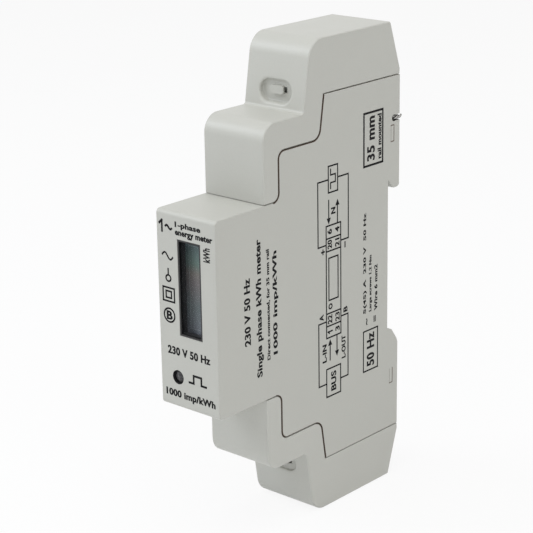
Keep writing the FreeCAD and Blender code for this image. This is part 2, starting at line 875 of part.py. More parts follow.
TERMINALS = {
    # number: (kind, side of the middle in X, end in Z)
    "4": ("power", 1, 1),
    "6": ("power", -1, 1),
    "20": ("signal", -1, 1),
    "21": ("signal", 1, 1),
    "1": ("power", -1, -1),
    "3": ("power", 1, -1),
    "22": ("signal", -1, -1),
    "23": ("signal", 1, -1),
}


def make_clamps():
    cages = {
        "signal": (
            signal_top_y,
            size.signal_top,
            signal_floor_y,
            size.signal_length,
            size.signal_screw_radius,
        ),
        "power": (
            power_top_y,
            size.power_top,
            power_floor_y,
            size.power_length,
            size.power_screw_radius,
        ),
    }
    tip_gap = 0.05
    screws = {
        "signal": (
            signal_head_y,
            size.signal_head,
            size.signal_head_radius,
            size.signal_screw_radius,
            signal_tang_y - tip_gap,
        ),
        "power": (
            power_head_y,
            size.power_head,
            power_head_radius,
            size.power_screw_radius,
            power_tang_y - tip_gap,
        ),
    }
    heights = {"signal": size.signal_z, "power": size.power_z}
    for number, (kind, x_side, z_side) in TERMINALS.items():
        x = clamp_x * x_side
        z = heights[kind] * z_side
        make_cage(f"{kind}_cage_{number}", x, z, cages[kind])
        make_screw(f"{kind}_screw_{number}", x, z, screws[kind])


def make_dividers():
    """Insulating plates that part the two clamps of each room."""
    play = size.clamp_gap / 2
    rooms = {"signal": (signal_room_y, signal_room_z), "power": (power_room_y, power_room_z)}
    for kind, (room_y, room_z) in rooms.items():
        for end, side in (("top", 1), ("bottom", -1)):
            body = new_body(f"{end}_{kind}_divider")
            inside = rectangle(room_y[0] + play, room_y[1] - play, room_z[0] + play, room_z[1] - play)
            add(body, "plate", "YZ", -size.divider / 2, size.divider / 2, mirrored_in_z(inside, side))


def make_bars():
    """The current path: a neutral link at the top, a shunt between bars below."""
    tang_end = size.power_z + size.power_length / 2 - 0.3
    reach = clamp_reach - 0.2
    link_z = power_room_z[0] - size.edge_wall - 1.2
    foot_z = link_z - 4.5
    pin_z = size.board_rear_half - 1.2
    depth = (power_tang_y, power_wire_y)
    x = clamp_x
    neutral = new_body("neutral_bar")
    outline = [
        (-x - reach, foot_z),
        (board_face - 1.6, foot_z),
        (board_face - 1.6, pin_z),
        (board_face, pin_z),
        (board_face, foot_z),
        (x + reach, foot_z),
        (x + reach, tang_end),
        (x - reach, tang_end),
        (x - reach, link_z),
        (-x + reach, link_z),
        (-x + reach, tang_end),
        (-x - reach, tang_end),
    ]
    add(neutral, "strip", "XZ", *depth, outline)
    gap = 1.2
    outgoing = new_body("line_out_bar")
    outline = [
        (gap, foot_z),
        (board_face - 1.6, foot_z),
        (board_face - 1.6, pin_z),
        (board_face, pin_z),
        (board_face, foot_z),
        (x + reach, foot_z),
        (x + reach, tang_end),
        (x - reach, tang_end),
        (x - reach, link_z),
        (gap, link_z),
    ]
    add(outgoing, "strip", "XZ", *depth, mirrored_in_z(outline, -1))
    incoming = new_body("line_in_bar")
    sense_z = pin_z - 2.4
    outline = [
        (-x - reach, foot_z),
        (-x + 0.4, foot_z),
        (-x + 0.4, sense_z),
        (board_face, sense_z),
        (board_face, sense_z + 0.9),
        (-x + 1.3, sense_z + 0.9),
        (-x + 1.3, foot_z),
        (-gap, foot_z),
        (-gap, link_z),
        (-x + reach, link_z),
        (-x + reach, tang_end),
        (-x - reach, tang_end),
    ]
    add(incoming, "strip", "XZ", *depth, mirrored_in_z(outline, -1))
    shunt = new_body("current_shunt")
    outline = mirrored_in_z(rectangle(-gap, gap, foot_z, link_z), -1)
    add(shunt, "strip", "XZ", *depth, outline)


def make_signal_tangs():
    """Flat tangs from the small clamps to the main board's face."""
    tang_end = size.signal_z + size.signal_length / 2 - 0.3
    neck_z = signal_room_z[0] - size.edge_wall - 0.5
    near_z = size.board_nose_half - 1.2
    far_z = near_z - 2.2
    x = clamp_x
    depth = (signal_tang_y, signal_wire_y)
    for number, (kind, x_side, z_side) in TERMINALS.items():
        if kind != "signal":
            continue
        if x_side > 0:
            outline = [
                (x - 1.6, neck_z),
                (board_face - 1.5, neck_z),
                (board_face - 1.5, near_z),
                (board_face, near_z),
                (board_face, neck_z),
                (x + 1.6, neck_z),
                (x + 1.6, tang_end),
                (x - 1.6, tang_end),
            ]
        else:
            outline = [
                (-x - 1.6, neck_z),
                (-x - 0.5, neck_z),
                (-x - 0.5, far_z),
                (board_face, far_z),
                (board_face, far_z + 1),
                (-x + 0.5, far_z + 1),
                (-x + 0.5, neck_z),
                (-x + 1.6, neck_z),
                (-x + 1.6, tang_end),
                (-x - 1.6, tang_end),
            ]
        body = new_body(f"signal_tang_{number}")
        add(body, "strip", "XZ", *depth, mirrored_in_z(outline, z_side))


def make_rail_clip():
    """The sliding foot: a flanged runner with a hooked top and a tab below."""
    body = new_body("rail_clip")
    floor = clip_floor + size.clip_gap
    flange_rear = floor + size.clip_flange
    clip_rear = rear - 0.4
    top = -size.rail_half + size.clip_grip
    body_top = slot_bottom_z - size.clip_gap
    bottom = -size.case_end_z - size.clip_tab
    half_flange = size.clip_flange_width / 2
    half_clip = size.clip_width / 2
    add(body, "flange", "XZ", floor, flange_rear, rectangle(-half_flange, half_flange, bottom, body_top))
    jaw = [
        (size.rail_edge + 0.3, body_top - 2),
        (size.rail_edge + 0.3, top),
        (size.rail_edge + 1.1, top),
        (clip_rear, top - 2.4),
        (clip_rear, bottom),
        (flange_rear - 0.3, bottom),
        (flange_rear - 0.3, body_top - 2),
    ]
    add(body, "jaw", "YZ", -half_clip, half_clip, jaw)
    slot_top = -size.spring_slot_top_z
    slot_end = slot_top - size.spring_length - size.clip_gap - size.stop_post - 0.1
    slot_half = size.spring_half_width + size.clip_gap + size.spring_wire / 2 + 0.15
    slot = rectangle(-slot_half, slot_half, slot_end, slot_top)
    cut(body, "spring_slot", "XZ", floor, clip_rear, slot)
    driver = rectangle(-1.8, 1.8, bottom + 1, bottom + 2.2)
    cut(body, "driver_slot", "XZ", floor, clip_rear, driver)
    return body


def make_clip_spring():
    """A flat spring wire, folded to and fro between the clip and the stop post."""
    turns = 6
    reach = size.spring_half_width.value
    wire = size.spring_wire.value
    length = size.spring_length.value - wire
    top = -size.spring_slot_top_z.value - wire / 2
    pitch = length / turns
    points = [FreeCAD.Vector(-reach, 0, top)]
    for turn_number in range(turns):
        side = 1 if turn_number % 2 == 0 else -1
        height = top - turn_number * pitch
        points.append(FreeCAD.Vector(side * reach, 0, height))
        points.append(FreeCAD.Vector(side * reach, 0, height - pitch))
    points.append(FreeCAD.Vector((-1 if turns % 2 else 1) * reach, 0, top - length))
    path = Part.makePolygon(points)
    outline = path.makeOffset2D(wire / 2, 2, False, False, False)
    strip = Part.Face(outline).extrude(FreeCAD.Vector(0, 1, 0))
    spring = doc.addObject("Part::Feature", "rail_clip_spring")
    spring.Label = "rail_clip_spring"
    spring.Shape = strip
    bind(spring, "Placement.Base.y", clip_floor + size.clip_gap + 0.5)
    return spring


def make_seal_pin():
    """A stiff wire that leaves the seal hole and bends back past the rear edge."""
    radius = size.seal_wire_radius
    depth_x = half - 2.4
    bend_x = half - radius + size.seal_wire_proud
    inner = doc.addObject("Part::Cylinder", "seal_pin_shank")
    bind(inner, "Radius", radius)
    bind(inner, "Height", bend_x - depth_x)
    inner.Placement.Rotation = FreeCAD.Rotation(FreeCAD.Vector(0, 1, 0), 90)
    move(inner, depth_x, size.seal_wire_y, size.seal_wire_z)
    outer = doc.addObject("Part::Cylinder", "seal_pin_tail")
    bind(outer, "Radius", radius)
    bind(outer, "Height", size.seal_wire_reach - size.seal_wire_y)
    outer.Placement.Rotation = FreeCAD.Rotation(FreeCAD.Vector(1, 0, 0), -90)
    move(outer, bend_x, size.seal_wire_y, size.seal_wire_z)
    elbow = doc.addObject("Part::Sphere", "seal_pin_bend")
    bind(elbow, "Radius", radius)
    move(elbow, bend_x, size.seal_wire_y, size.seal_wire_z)
    pin = doc.addObject("Part::MultiFuse", "seal_pin")
    pin.Label = "seal_pin"
    pin.Shapes = [inner, outer, elbow]
    doc.recompute()
    return pin


def make_chip(name, y, z, length, width, height, leads):
    """A moulded chip on the main board, with a row of leads along each long side."""
    body = new_body(name)
    case = rectangle(-length / 2, length / 2, -width / 2, width / 2)
    stand, inner, outer, thick = grid(0.15, 0.2, 0.7, 0.55)
    add(body, "case", "YZ", -height, -stand, case)
    pitch = length / leads
    rows = []
    for number in range(leads):
        middle = pitch * (number + 0.5) - length / 2
        for side in (1, -1):
            row = rectangle(middle - pitch / 4, middle + pitch / 4, width / 2 - inner, width / 2 + outer)
            rows.append(mirrored_in_z(row, side))
    add(body, "leads", "YZ", -thick, 0, *rows)
    move(body, board_face, y, z)
    return body


def make_drum(name, y, z, radius, length):
    """A round can standing on the main board."""
    body = new_body(name)
    turn(body, "can", "XY", rectangle(0, radius, 0, length))
    body.Placement.Rotation = FreeCAD.Rotation(FreeCAD.Vector(0, 0, 1), 90)
    move(body, board_face, y, z)
    return body


def grid(*steps):
    """Lengths in steps of the board's placing grid."""
    return [size.board_grid * step for step in steps]


def make_electronics():
    """Supply, metering and output parts on the inner face of the main board."""
    face = board_face
    tall = face - left_inside - size.lid_clearance
    box_round, cast_round, can_round = grid(0.6, 0.5, 1.2)
    block("supply_capacitor", (face - tall, face), grid(-22, -10), grid(7.5, 20.5), box_round)
    make_drum("smoothing_capacitor", *grid(-7, -14, 4), tall)
    varistor = new_body("surge_varistor")
    stand, y, radius, low, high, foot = grid(5, -20, 4.4, 2.5, 5.8, 1.8)
    add(varistor, "disc", "XY", low, high, circle(face - stand, y, radius))
    middle = (low + high) / 2
    leg = size.board_grid * 0.3
    legs = rectangle(face - foot, face, y - foot, y + foot)
    add(varistor, "legs", "XY", middle - leg, middle + leg, legs)
    converter_x = (face - size.board_grid * 8.5, face)
    block("isolation_converter", converter_x, grid(-22, -11), grid(-20, -9), cast_round)
    resistor = new_body("fusible_resistor")
    stand, y, radius, low, high = grid(2.6, -6.2, 1.8, -2, 6.5)
    add(resistor, "rod", "XY", low, high, circle(face - stand, y, radius))
    middle = (low + high) / 2
    legs = rectangle(face - size.board_grid, face, y - leg, y + leg)
    add(resistor, "legs", "XY", middle - leg, middle + leg, legs)
    make_chip("metering_chip", *grid(-19, -3, 7.6, 4.4, 1.7), 4)
    chip_y = board_front + size.board_grid * 13.3
    make_chip("microcontroller", chip_y, *grid(3, 9.6, 7.6, 1.5), 5)
    make_chip("pulse_optocoupler", *grid(-30, 12.5, 4.6, 6.4, 3.4), 2)
    make_chip("bus_transceiver", *grid(-30, -12.5, 4.9, 3.9, 1.6), 3)
    crystal_y = (board_front + size.board_grid * 4.8, board_front + size.board_grid * 8.7)
    block("crystal", (face - size.board_grid * 3.6, face), crystal_y, grid(7, 17), can_round)


def sub_parts():
    """Every body, and each shape that isn't built inside another object."""
    parts = []
    for thing in doc.Objects:
        if thing.TypeId == "PartDesign::Body":
            parts.append(thing)
        elif thing.TypeId in ("Part::MultiFuse", "Part::Feature"):
            parts.append(thing)
    return parts


def check_objects():
    for thing in doc.Objects:
        if "Invalid" in thing.State or "Error" in thing.State:
            raise RuntimeError(f"{thing.Label} is {thing.State}")
    for part in sub_parts():
        shape = part.Shape
        if shape.isNull() or not shape.isValid() or not shape.Solids:
            raise RuntimeError(f"{part.Label} has no valid solid")


def export_parts():
    os.makedirs("parts", exist_ok=True)
    for part in sub_parts():
        part.Shape.exportStep(f"parts/{part.Label}.step")
        print(part.Label, len(part.Shape.Solids), round(part.Shape.Volume, 2))


make_case_body()
make_side_lid()
make_covers()
make_display()
make_display_board()
make_pulse_led()
make_main_board()
make_board_connector()
make_clamps()
make_dividers()
make_bars()
make_signal_tangs()
make_rail_clip()
make_clip_spring()
make_seal_pin()
make_electronics()
doc.recompute()
check_objects()
export_parts()
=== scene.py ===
import math

import bmesh
import bpy
from bpy.props import FloatProperty, FloatVectorProperty, PointerProperty
from mathutils import Matrix, Vector
from mathutils.bvhtree import BVHTree


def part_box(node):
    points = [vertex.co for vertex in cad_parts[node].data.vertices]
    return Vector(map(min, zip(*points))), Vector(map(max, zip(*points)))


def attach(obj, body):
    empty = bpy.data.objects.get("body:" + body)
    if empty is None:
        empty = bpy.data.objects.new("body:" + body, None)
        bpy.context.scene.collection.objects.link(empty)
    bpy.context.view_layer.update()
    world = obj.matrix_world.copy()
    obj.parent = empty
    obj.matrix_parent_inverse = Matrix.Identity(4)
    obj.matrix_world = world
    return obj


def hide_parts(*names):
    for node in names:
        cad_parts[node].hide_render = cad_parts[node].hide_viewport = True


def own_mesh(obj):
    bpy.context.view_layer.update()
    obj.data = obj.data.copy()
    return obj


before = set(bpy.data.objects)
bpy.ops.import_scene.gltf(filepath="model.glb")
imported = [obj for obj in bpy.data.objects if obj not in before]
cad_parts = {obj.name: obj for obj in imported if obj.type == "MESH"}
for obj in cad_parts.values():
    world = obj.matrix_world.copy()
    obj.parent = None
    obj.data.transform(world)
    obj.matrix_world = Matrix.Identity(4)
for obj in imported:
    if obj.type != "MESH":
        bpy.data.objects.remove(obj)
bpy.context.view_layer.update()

bl_info = {
    "name": "Single-phase energy meter",
    "version": (1, 0, 0),
    "blender": (4, 5, 0),
    "location": "3D View > Sidebar > Energy meter",
    "description": "Finished pieces, print and materials for a one-module energy meter",
    "category": "Object",
}

MM = 0.001
UP = Vector((0, 0, 1))
CASE_LOW, CASE_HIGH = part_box("case_body")
FACE_Y = CASE_LOW.y
SIDE_X = CASE_HIGH.x
FLOOR_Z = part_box("bottom_terminal_cover")[0].z
LAMP_LOW, LAMP_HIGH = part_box("pulse_led")

# Reach of the painted shade inside the lamp's hole and the wire's hole
LENS_HOLE = 1.72 * MM
WIRE_HOLE = 0.95 * MM

# How much the letters on the nose and on the side are thickened
FRONT_WEIGHT, SIDE_WEIGHT = 0.035, 0.03

# The photograph's camera
PHOTO_PIXELS = 533
SENSOR_WIDTH = 36

# Limits for choosing a shape's points, edges and faces
JOIN_DISTANCE = 0.002 * MM
NEAR = 0.02 * MM
FLAT_ANGLE = math.radians(0.5)
EDGE_ANGLE = math.radians(55)
WALL_LEAN = 0.3


# Sizes and colours


def paint(red, green, blue):
    """A colour that is written as it shows, from 0 to 255, as Blender keeps it."""
    shades = [channel / 255 for channel in (red, green, blue)]
    linear = [c / 12.92 if c <= 0.04045 else ((c + 0.055) / 1.055) ** 2.4 for c in shades]
    return (*linear, 1.0)


def colour(name, description, shade):
    return FloatVectorProperty(
        name=name,
        description=description,
        subtype="COLOR",
        size=4,
        min=0,
        max=1,
        default=paint(*shade),
    )


def length(name, description, millimetres):
    return FloatProperty(
        name=name,
        description=description,
        subtype="DISTANCE",
        unit="LENGTH",
        min=0,
        precision=5,
        default=millimetres * MM,
    )


class MeterColours(bpy.types.PropertyGroup):
    """Colours of the meter's plastics, display, print and metals"""

    case: colour("Case", "Light grey of the moulded case", (190, 190, 183))
    cover: colour("Covers", "Light grey of the two terminal covers", (191, 191, 184))
    divider: colour("Dividers", "Grey of the inner insulating plates", (205, 205, 200))
    clip: colour("Rail clip", "Grey of the sliding rail clip", (178, 179, 176))
    bezel: colour("Bezel", "Black of the frame behind the window", (45, 45, 46))
    # The display's dark tone, with a painted sheen and reflection that change from its foot to its
    # top
    display_sheen_top: colour("Display, top", "Upper end of the resting display", (76, 92, 96))
    display_sheen_middle: colour("Display, middle", "Middle of the resting display", (84, 92, 92))
    display_sheen_foot: colour("Display, foot", "Lower end of the resting display", (90, 92, 100))
    lens: colour("Lamp lens", "Dull lens of the pulse lamp", (62, 62, 63))
    ink: colour("Ink", "Black of the print", (19, 19, 21))
    seam: colour("Latch seams", "Dark line round a moulded latch", (94, 78, 68))
    gap: colour("Cover seams", "Shade in the seams between the covers and the case", (84, 72, 64))
    pocket: colour("Small holes", "Shade inside the lamp's and the wire's holes", (40, 40, 41))
    zinc: colour("Zinc", "Plated steel of screws and cages", (196, 197, 196))
    steel: colour("Steel wire", "Sealing wire and clip spring", (142, 141, 138))
    copper: colour("Copper", "Tinned copper bars and tangs", (206, 170, 128))
    alloy: colour("Shunt alloy", "Resistance metal of the shunt", (168, 150, 132))
    board: colour("Board", "Solder mask of the boards", (28, 84, 54))
    floor: colour("Floor", "Pale floor under the meter", (240, 240, 240))


class MeterSizes(bpy.types.PropertyGroup):
    """Sizes of the finish that Blender adds to the meter"""

    edge_round: length("Edge rounding", "Small radius on the moulded edges", 0.2)
    dish_round: length("Dish rounding", "Rounding of the sealing eye's dish at its rim", 0.72)
    ink_height: length("Ink height", "How far the print stands above the plastic", 0.006)
    ink_root: length("Ink root", "How far the print reaches into the plastic", 0.02)
    front_line: length("Front line", "Width of the drawn lines on the nose", 0.42)
    side_line: length("Side line", "Width of the drawn lines on the side", 0.38)
    word_shift: length("Word shift", "How far the second layer of a word lies aside", 0.08)
    latch_line: length("Latch line", "Width of the seam round a latch", 0.24)
    grain: length("Grain", "Size of the moulded surface's grain", 0.3)
    power_pitch: length("Large pitch", "Thread pitch of the large clamp screws", 0.7)
    signal_pitch: length("Small pitch", "Thread pitch of the small clamp screws", 0.5)
    thread_depth: length("Thread depth", "Depth of the clamp screws' thread", 0.3)
    wire_bend: length("Wire bend", "Radius of the sealing wire's bend", 0.5)
    wire_lay: length("Wire lay", "Length of one twist of the sealing wire", 2.6)
    tooth: length("Jaw tooth", "Height of the teeth in a clamp's jaw", 0.18)


def colours():
    return bpy.context.scene.meter_colours


def sizes():
    return bpy.context.scene.meter_sizes


# Nodes shared by the materials


def add_node(tree, kind, values=None, **settings):
    """Add a node. A value that is a socket is joined, and any other is set."""
    node = tree.nodes.new(kind)
    for name, value in settings.items():
        setattr(node, name, value)
    for name, value in (values or {}).items():
        socket = node.inputs[name]
        if isinstance(value, bpy.types.NodeSocket):
            tree.links.new(value, socket)
        else:
            socket.default_value = value
    return node


def calculate(tree, operation, first, second=0.0):
    return add_node(tree, "ShaderNodeMath", {0: first, 1: second}, operation=operation).outputs[0]


def mix_colours(tree, share, first, second):
    values = {0: share, 6: first, 7: second}
    return add_node(tree, "ShaderNodeMix", values, data_type="RGBA").outputs[2]


def scale_colour(tree, shade, share):
    values = {0: shade, "Scale": share}
    return add_node(tree, "ShaderNodeVectorMath", values, operation="SCALE").outputs[0]


def object_place(tree):
    return add_node(tree, "ShaderNodeTexCoord").outputs["Object"]


def noise(tree, place, scale, detail=2.0, roughness=0.5):
    values = {"Vector": place, "Scale": scale, "Detail": detail, "Roughness": roughness}
    return add_node(tree, "ShaderNodeTexNoise", values).outputs[0]


def built_once(build):
    """Give the node group that is named after a function, and build it when it's missing."""

    def give():
        return bpy.data.node_groups.get(build.__name__) or build()

    return give


def new_group(name, inputs, outputs):
    """Start a shader node group with named inputs and outputs."""
    group = bpy.data.node_groups.new(name, "ShaderNodeTree")
    for label, kind, value in inputs:
        group.interface.new_socket(label, in_out="INPUT", socket_type=kind).default_value = value
    for label, kind in outputs:
        group.interface.new_socket(label, in_out="OUTPUT", socket_type=kind)
    return group, group.nodes.new("NodeGroupInput"), group.nodes.new("NodeGroupOutput")


SURFACE_OUTPUTS = [
    ("Colour", "NodeSocketColor"),
    ("Roughness", "NodeSocketFloat"),
    ("Normal", "NodeSocketVector"),
]


def finish_surface(group, source, result, tone, roughness, height, depth):
    """Join a group's tone, roughness and height to its outputs."""
    values = {"Strength": source.outputs["Relief"], "Distance": depth, "Height": height}
    bump = add_node(group, "ShaderNodeBump", values)
    shade = scale_colour(group, source.outputs["Base"], tone)
    group.links.new(shade, result.inputs["Colour"])
    group.links.new(roughness, result.inputs["Roughness"])
    group.links.new(bump.outputs[0], result.inputs["Normal"])


@built_once
def moulded_grain():
    """Fine speckle, broad unevenness and a light texture, as on moulded plastic."""
    inputs = [
        ("Base", "NodeSocketColor", (0.5, 0.5, 0.5, 1)),
        ("Speckle", "NodeSocketFloat", 0.08),
        ("Unevenness", "NodeSocketFloat", 0.05),
        ("Grain Scale", "NodeSocketFloat", 4500.0),
        ("Roughness", "NodeSocketFloat", 0.5),
        ("Relief", "NodeSocketFloat", 0.2),
    ]
    group, source, result = new_group("moulded_grain", inputs, SURFACE_OUTPUTS)
    place = object_place(group)
    fine = noise(group, place, source.outputs["Grain Scale"])
    broad = noise(group, place, 110.0, 4.0, 0.6)
    fine_swing = calculate(group, "SUBTRACT", fine, 0.5)
    broad_swing = calculate(group, "SUBTRACT", broad, 0.5)
    speckle = calculate(group, "MULTIPLY", fine_swing, source.outputs["Speckle"])
    uneven = calculate(group, "MULTIPLY", broad_swing, source.outputs["Unevenness"])
    tone = calculate(group, "ADD", calculate(group, "ADD", speckle, uneven), 1.0)
    swing = calculate(group, "MULTIPLY", broad_swing, 0.25)
    roughness = calculate(group, "ADD", source.outputs["Roughness"], swing)
    finish_surface(group, source, result, tone, roughness, fine, 0.03 * MM)
    return group


@built_once
def drawn_metal():
    """Fine lines along one direction, with stains, as on drawn or turned metal."""
    inputs = [
        ("Base", "NodeSocketColor", (0.6, 0.6, 0.6, 1)),
        ("Direction", "NodeSocketVector", (1.0, 1.0, 0.05)),
        ("Contrast", "NodeSocketFloat", 0.25),
        ("Roughness", "NodeSocketFloat", 0.35),
        ("Relief", "NodeSocketFloat", 0.15),
    ]
    group, source, result = new_group("drawn_metal", inputs, SURFACE_OUTPUTS)
    place = object_place(group)
    values = {"Vector": place, "Scale": source.outputs["Direction"]}
    along = add_node(group, "ShaderNodeMapping", values).outputs[0]
    lines = noise(group, along, 6000.0, 3.0)
    stains = noise(group, place, 700.0, 4.0)
    line_swing = calculate(group, "SUBTRACT", lines, 0.5)
    stain_swing = calculate(group, "SUBTRACT", stains, 0.5)
    both = calculate(group, "ADD", line_swing, stain_swing)
    swing = calculate(group, "MULTIPLY", both, source.outputs["Contrast"])
    tone = calculate(group, "ADD", swing, 1.0)
    roughness = calculate(group, "ADD", source.outputs["Roughness"], swing)
    finish_surface(group, source, result, tone, roughness, lines, 0.01 * MM)
    return group


@built_once
def board_tracks():
    """Solder mask over copper tracks that run up the board."""
    inputs = [
        ("Base", "NodeSocketColor", (0.02, 0.1, 0.04, 1)),
        ("Track Scale", "NodeSocketFloat", 780.0),
        ("Roughness", "NodeSocketFloat", 0.35),
        ("Relief", "NodeSocketFloat", 0.3),
    ]
    group, source, result = new_group("board_tracks", inputs, SURFACE_OUTPUTS)
    place = object_place(group)
    values = {"Vector": place, "Scale": source.outputs["Track Scale"], "Randomness": 0.35}
    cells = add_node(group, "ShaderNodeTexVoronoi", values, distance="MANHATTAN")
    tracks = calculate(group, "GREATER_THAN", cells.outputs["Distance"], 0.62)
    weave = noise(group, place, 5000.0)
    lift = calculate(group, "MULTIPLY", tracks, 0.35)
    swing = calculate(group, "MULTIPLY", weave, 0.2)
    tone = calculate(group, "ADD", calculate(group, "ADD", lift, swing), 0.85)
    roughness = calculate(group, "ADD", source.outputs["Roughness"], swing)
    finish_surface(group, source, result, tone, roughness, tracks, 0.03 * MM)
    return group


# Materials


finishes = {}


def new_material(name):
    """An empty node material and its tree."""
    material = bpy.data.materials.new(name)
    material.use_nodes = True
    material.node_tree.nodes.clear()
    return material, material.node_tree


def end_material(tree, kind, values):
    """Add a material's last shader and join it to the output."""
    output = tree.nodes.new("ShaderNodeOutputMaterial")
    shader = add_node(tree, kind, values)
    tree.links.new(shader.outputs[0], output.inputs["Surface"])


def surface_material(name, group, values, **shader_values):
    """A Principled material whose colour, roughness and normal come from a group."""
    if name in finishes:
        return finishes[name]
    material, tree = new_material(name)
    finishes[name] = material
    surface = add_node(tree, "ShaderNodeGroup", values, node_tree=group).outputs
    values = {
        "Base Color": surface["Colour"],
        "Roughness": surface["Roughness"],
        "Normal": surface["Normal"],
    }
    for label, value in shader_values.items():
        values[label.replace("_", " ")] = value
    end_material(tree, "ShaderNodeBsdfPrincipled", values)
    return material


def plastic(name, shade, roughness=0.5, speckle=0.08, uneven=0.05, relief=0.2, **shader_values):
    values = {
        "Base": shade,
        "Speckle": speckle,
        "Unevenness": uneven,
        "Grain Scale": 1 / sizes().grain,
        "Roughness": roughness,
        "Relief": relief,
    }
    return surface_material(name, moulded_grain(), values, **shader_values)


def metal(name, shade, direction, roughness=0.35, contrast=0.25, relief=0.15):
    values = {
        "Base": shade,
        "Direction": direction,
        "Contrast": contrast,
        "Roughness": roughness,
        "Relief": relief,
    }
    return surface_material(name, drawn_metal(), values, Metallic=1.0)


def board_finish():
    return surface_material("coated_board", board_tracks(), {"Base": colours().board})


def case_plastic():
    return plastic("moulded_case", colours().case, 0.47)


def cover_plastic():
    return plastic("moulded_cover", colours().cover, 0.42)


def ink():
    return plastic("print_ink", colours().ink, 0.6, 0.3, 0.2, 0.1, Specular_IOR_Level=0.12)


def zinc():
    return metal("plated_zinc", colours().zinc, (1.0, 0.15, 1.0), 0.32)


def clear_window():
    """Clear moulded plastic that lets the lamps reach the display behind it."""
    material, tree = new_material("clear_pane")
    ripple = noise(tree, object_place(tree), 160.0)
    values = {"Strength": 0.03, "Distance": 0.05 * MM, "Height": ripple}
    bump = add_node(tree, "ShaderNodeBump", values)
    values = {
        "Base Color": (0.93, 0.95, 0.95, 1),
        "Roughness": 0.03,
        "IOR": 1.06,
        "Transmission Weight": 1.0,
        "Normal": bump.outputs[0],
    }
    glass = add_node(tree, "ShaderNodeBsdfPrincipled", values)
    clear = add_node(tree, "ShaderNodeBsdfTransparent")
    path = add_node(tree, "ShaderNodeLightPath")
    values = {0: path.outputs["Is Shadow Ray"], 1: glass.outputs[0], 2: clear.outputs[0]}
    end_material(tree, "ShaderNodeMixShader", values)
    return material


def display_finish():
    """The resting display: a painted sheen that changes upwards, painted shade at its left, and a
    thin inner frame.
    """
    material, tree = new_material("display_face")
    low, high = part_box("display_window")
    place = object_place(tree)
    axes = add_node(tree, "ShaderNodeSeparateXYZ", {0: place}).outputs
    values = {"Value": axes["Z"], "From Min": low.z, "From Max": high.z}
    height = add_node(tree, "ShaderNodeMapRange", values).outputs[0]
    ramp = add_node(tree, "ShaderNodeValToRGB", {0: height})
    ends = ramp.color_ramp.elements
    ends[0].color, ends[1].color = colours().display_sheen_foot, colours().display_sheen_top
    # Painted sheen and reflection: tinted stops along the display's height
    sheen = (
        (0.3, colours().display_sheen_middle),
        (0.55, paint(100, 92, 92)),
        (0.66, paint(104, 98, 92)),
        (0.76, paint(84, 104, 96)),
    )
    for position, shade in sheen:
        ends.new(position).color = shade
    share = calculate(tree, "MULTIPLY", noise(tree, place, 260.0), 0.3)
    tint = mix_colours(tree, share, ramp.outputs[0], paint(98, 96, 104))
    frame_inset, half_line, frame_share = 1.05 * MM, 0.08 * MM, 0.3
    middle, reach = (low + high) / 2, (high - low) / 2
    edges = []
    for label, index in (("X", 0), ("Z", 2)):
        away = calculate(tree, "ABSOLUTE", calculate(tree, "SUBTRACT", axes[label], middle[index]))
        edges.append(calculate(tree, "SUBTRACT", away, reach[index] - frame_inset))
    nearest = calculate(tree, "MAXIMUM", *edges)
    outside = calculate(tree, "GREATER_THAN", nearest)
    share = calculate(tree, "MULTIPLY", outside, frame_share)
    bordered = mix_colours(tree, share, tint, paint(62, 68, 72))
    on_line = calculate(tree, "LESS_THAN", calculate(tree, "ABSOLUTE", nearest), half_line)
    share = calculate(tree, "MULTIPLY", on_line, frame_share)
    framed = mix_colours(tree, share, bordered, paint(150, 156, 156))
    # Painted shade: the display grows darker towards its left edge
    values = {"Value": axes["X"], "From Min": -MM, "From Max": 2 * MM, "To Min": 0.6, "To Max": 1.0}
    across = add_node(tree, "ShaderNodeMapRange", values, interpolation_type="SMOOTHSTEP")
    shaded = scale_colour(tree, framed, across.outputs[0])
    values = {"Base Color": shaded, "Roughness": 0.4, "Specular IOR Level": 0.3}
    end_material(tree, "ShaderNodeBsdfPrincipled", values)
    return material


def lens_finish():
    """A dull clear lens over a dark lamp, brighter in a few spots."""
    material, tree = new_material("lamp_lens")
    spots = noise(tree, object_place(tree), 1500.0)
    values = {"Value": spots, "From Min": 0.52, "From Max": 0.7}
    share = add_node(tree, "ShaderNodeMapRange", values).outputs[0]
    shade = mix_colours(tree, share, colours().lens, paint(108, 107, 107))
    values = {"Base Color": shade, "Roughness": 0.35, "Specular IOR Level": 0.25}
    end_material(tree, "ShaderNodeBsdfPrincipled", values)
    return material


# Meshes


def link_piece(name, mesh, material, body, replaced=()):
    """Show a finished mesh as a piece that rides on a body of the frame."""
    mesh.materials.clear()
    mesh.materials.append(material)
    piece = bpy.data.objects.new(name, mesh)
    bpy.context.scene.collection.objects.link(piece)
    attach(piece, body)
    if replaced:
        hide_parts(*replaced)
    return piece


def dress(names, material):
    """Give CAD nodes a finished material in their slots."""
    for name in names:
        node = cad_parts[name]
        if not node.material_slots:
            node.data.materials.append(material)
        for slot in node.material_slots:
            slot.material = material


def evaluated(carrier):
    """The plain mesh that an object's modifiers give, without the object."""
    bpy.context.view_layer.update()
    graph = bpy.context.evaluated_depsgraph_get()
    mesh = bpy.data.meshes.new_from_object(carrier.evaluated_get(graph), depsgraph=graph)
    bpy.data.objects.remove(carrier)
    return mesh


def carrier_of(data):
    """A passing object for a mesh or lettering that is still being made."""
    carrier = bpy.data.objects.new("workpiece", data)
    bpy.context.scene.collection.objects.link(carrier)
    return carrier


def plain_mesh(shape, name):
    """Turn a bmesh into a mesh as it is."""
    mesh = bpy.data.meshes.new(name)
    shape.to_mesh(mesh)
    shape.free()
    return mesh


def mesh_of(shape, name):
    """Turn a bmesh into a mesh with its faces outwards."""
    bmesh.ops.recalc_face_normals(shape, faces=shape.faces)
    return plain_mesh(shape, name)


def joined(name, parts):
    """One mesh made of several."""
    whole = bmesh.new()
    for part in parts:
        whole.from_mesh(part)
        bpy.data.meshes.remove(part)
    return plain_mesh(whole, name)


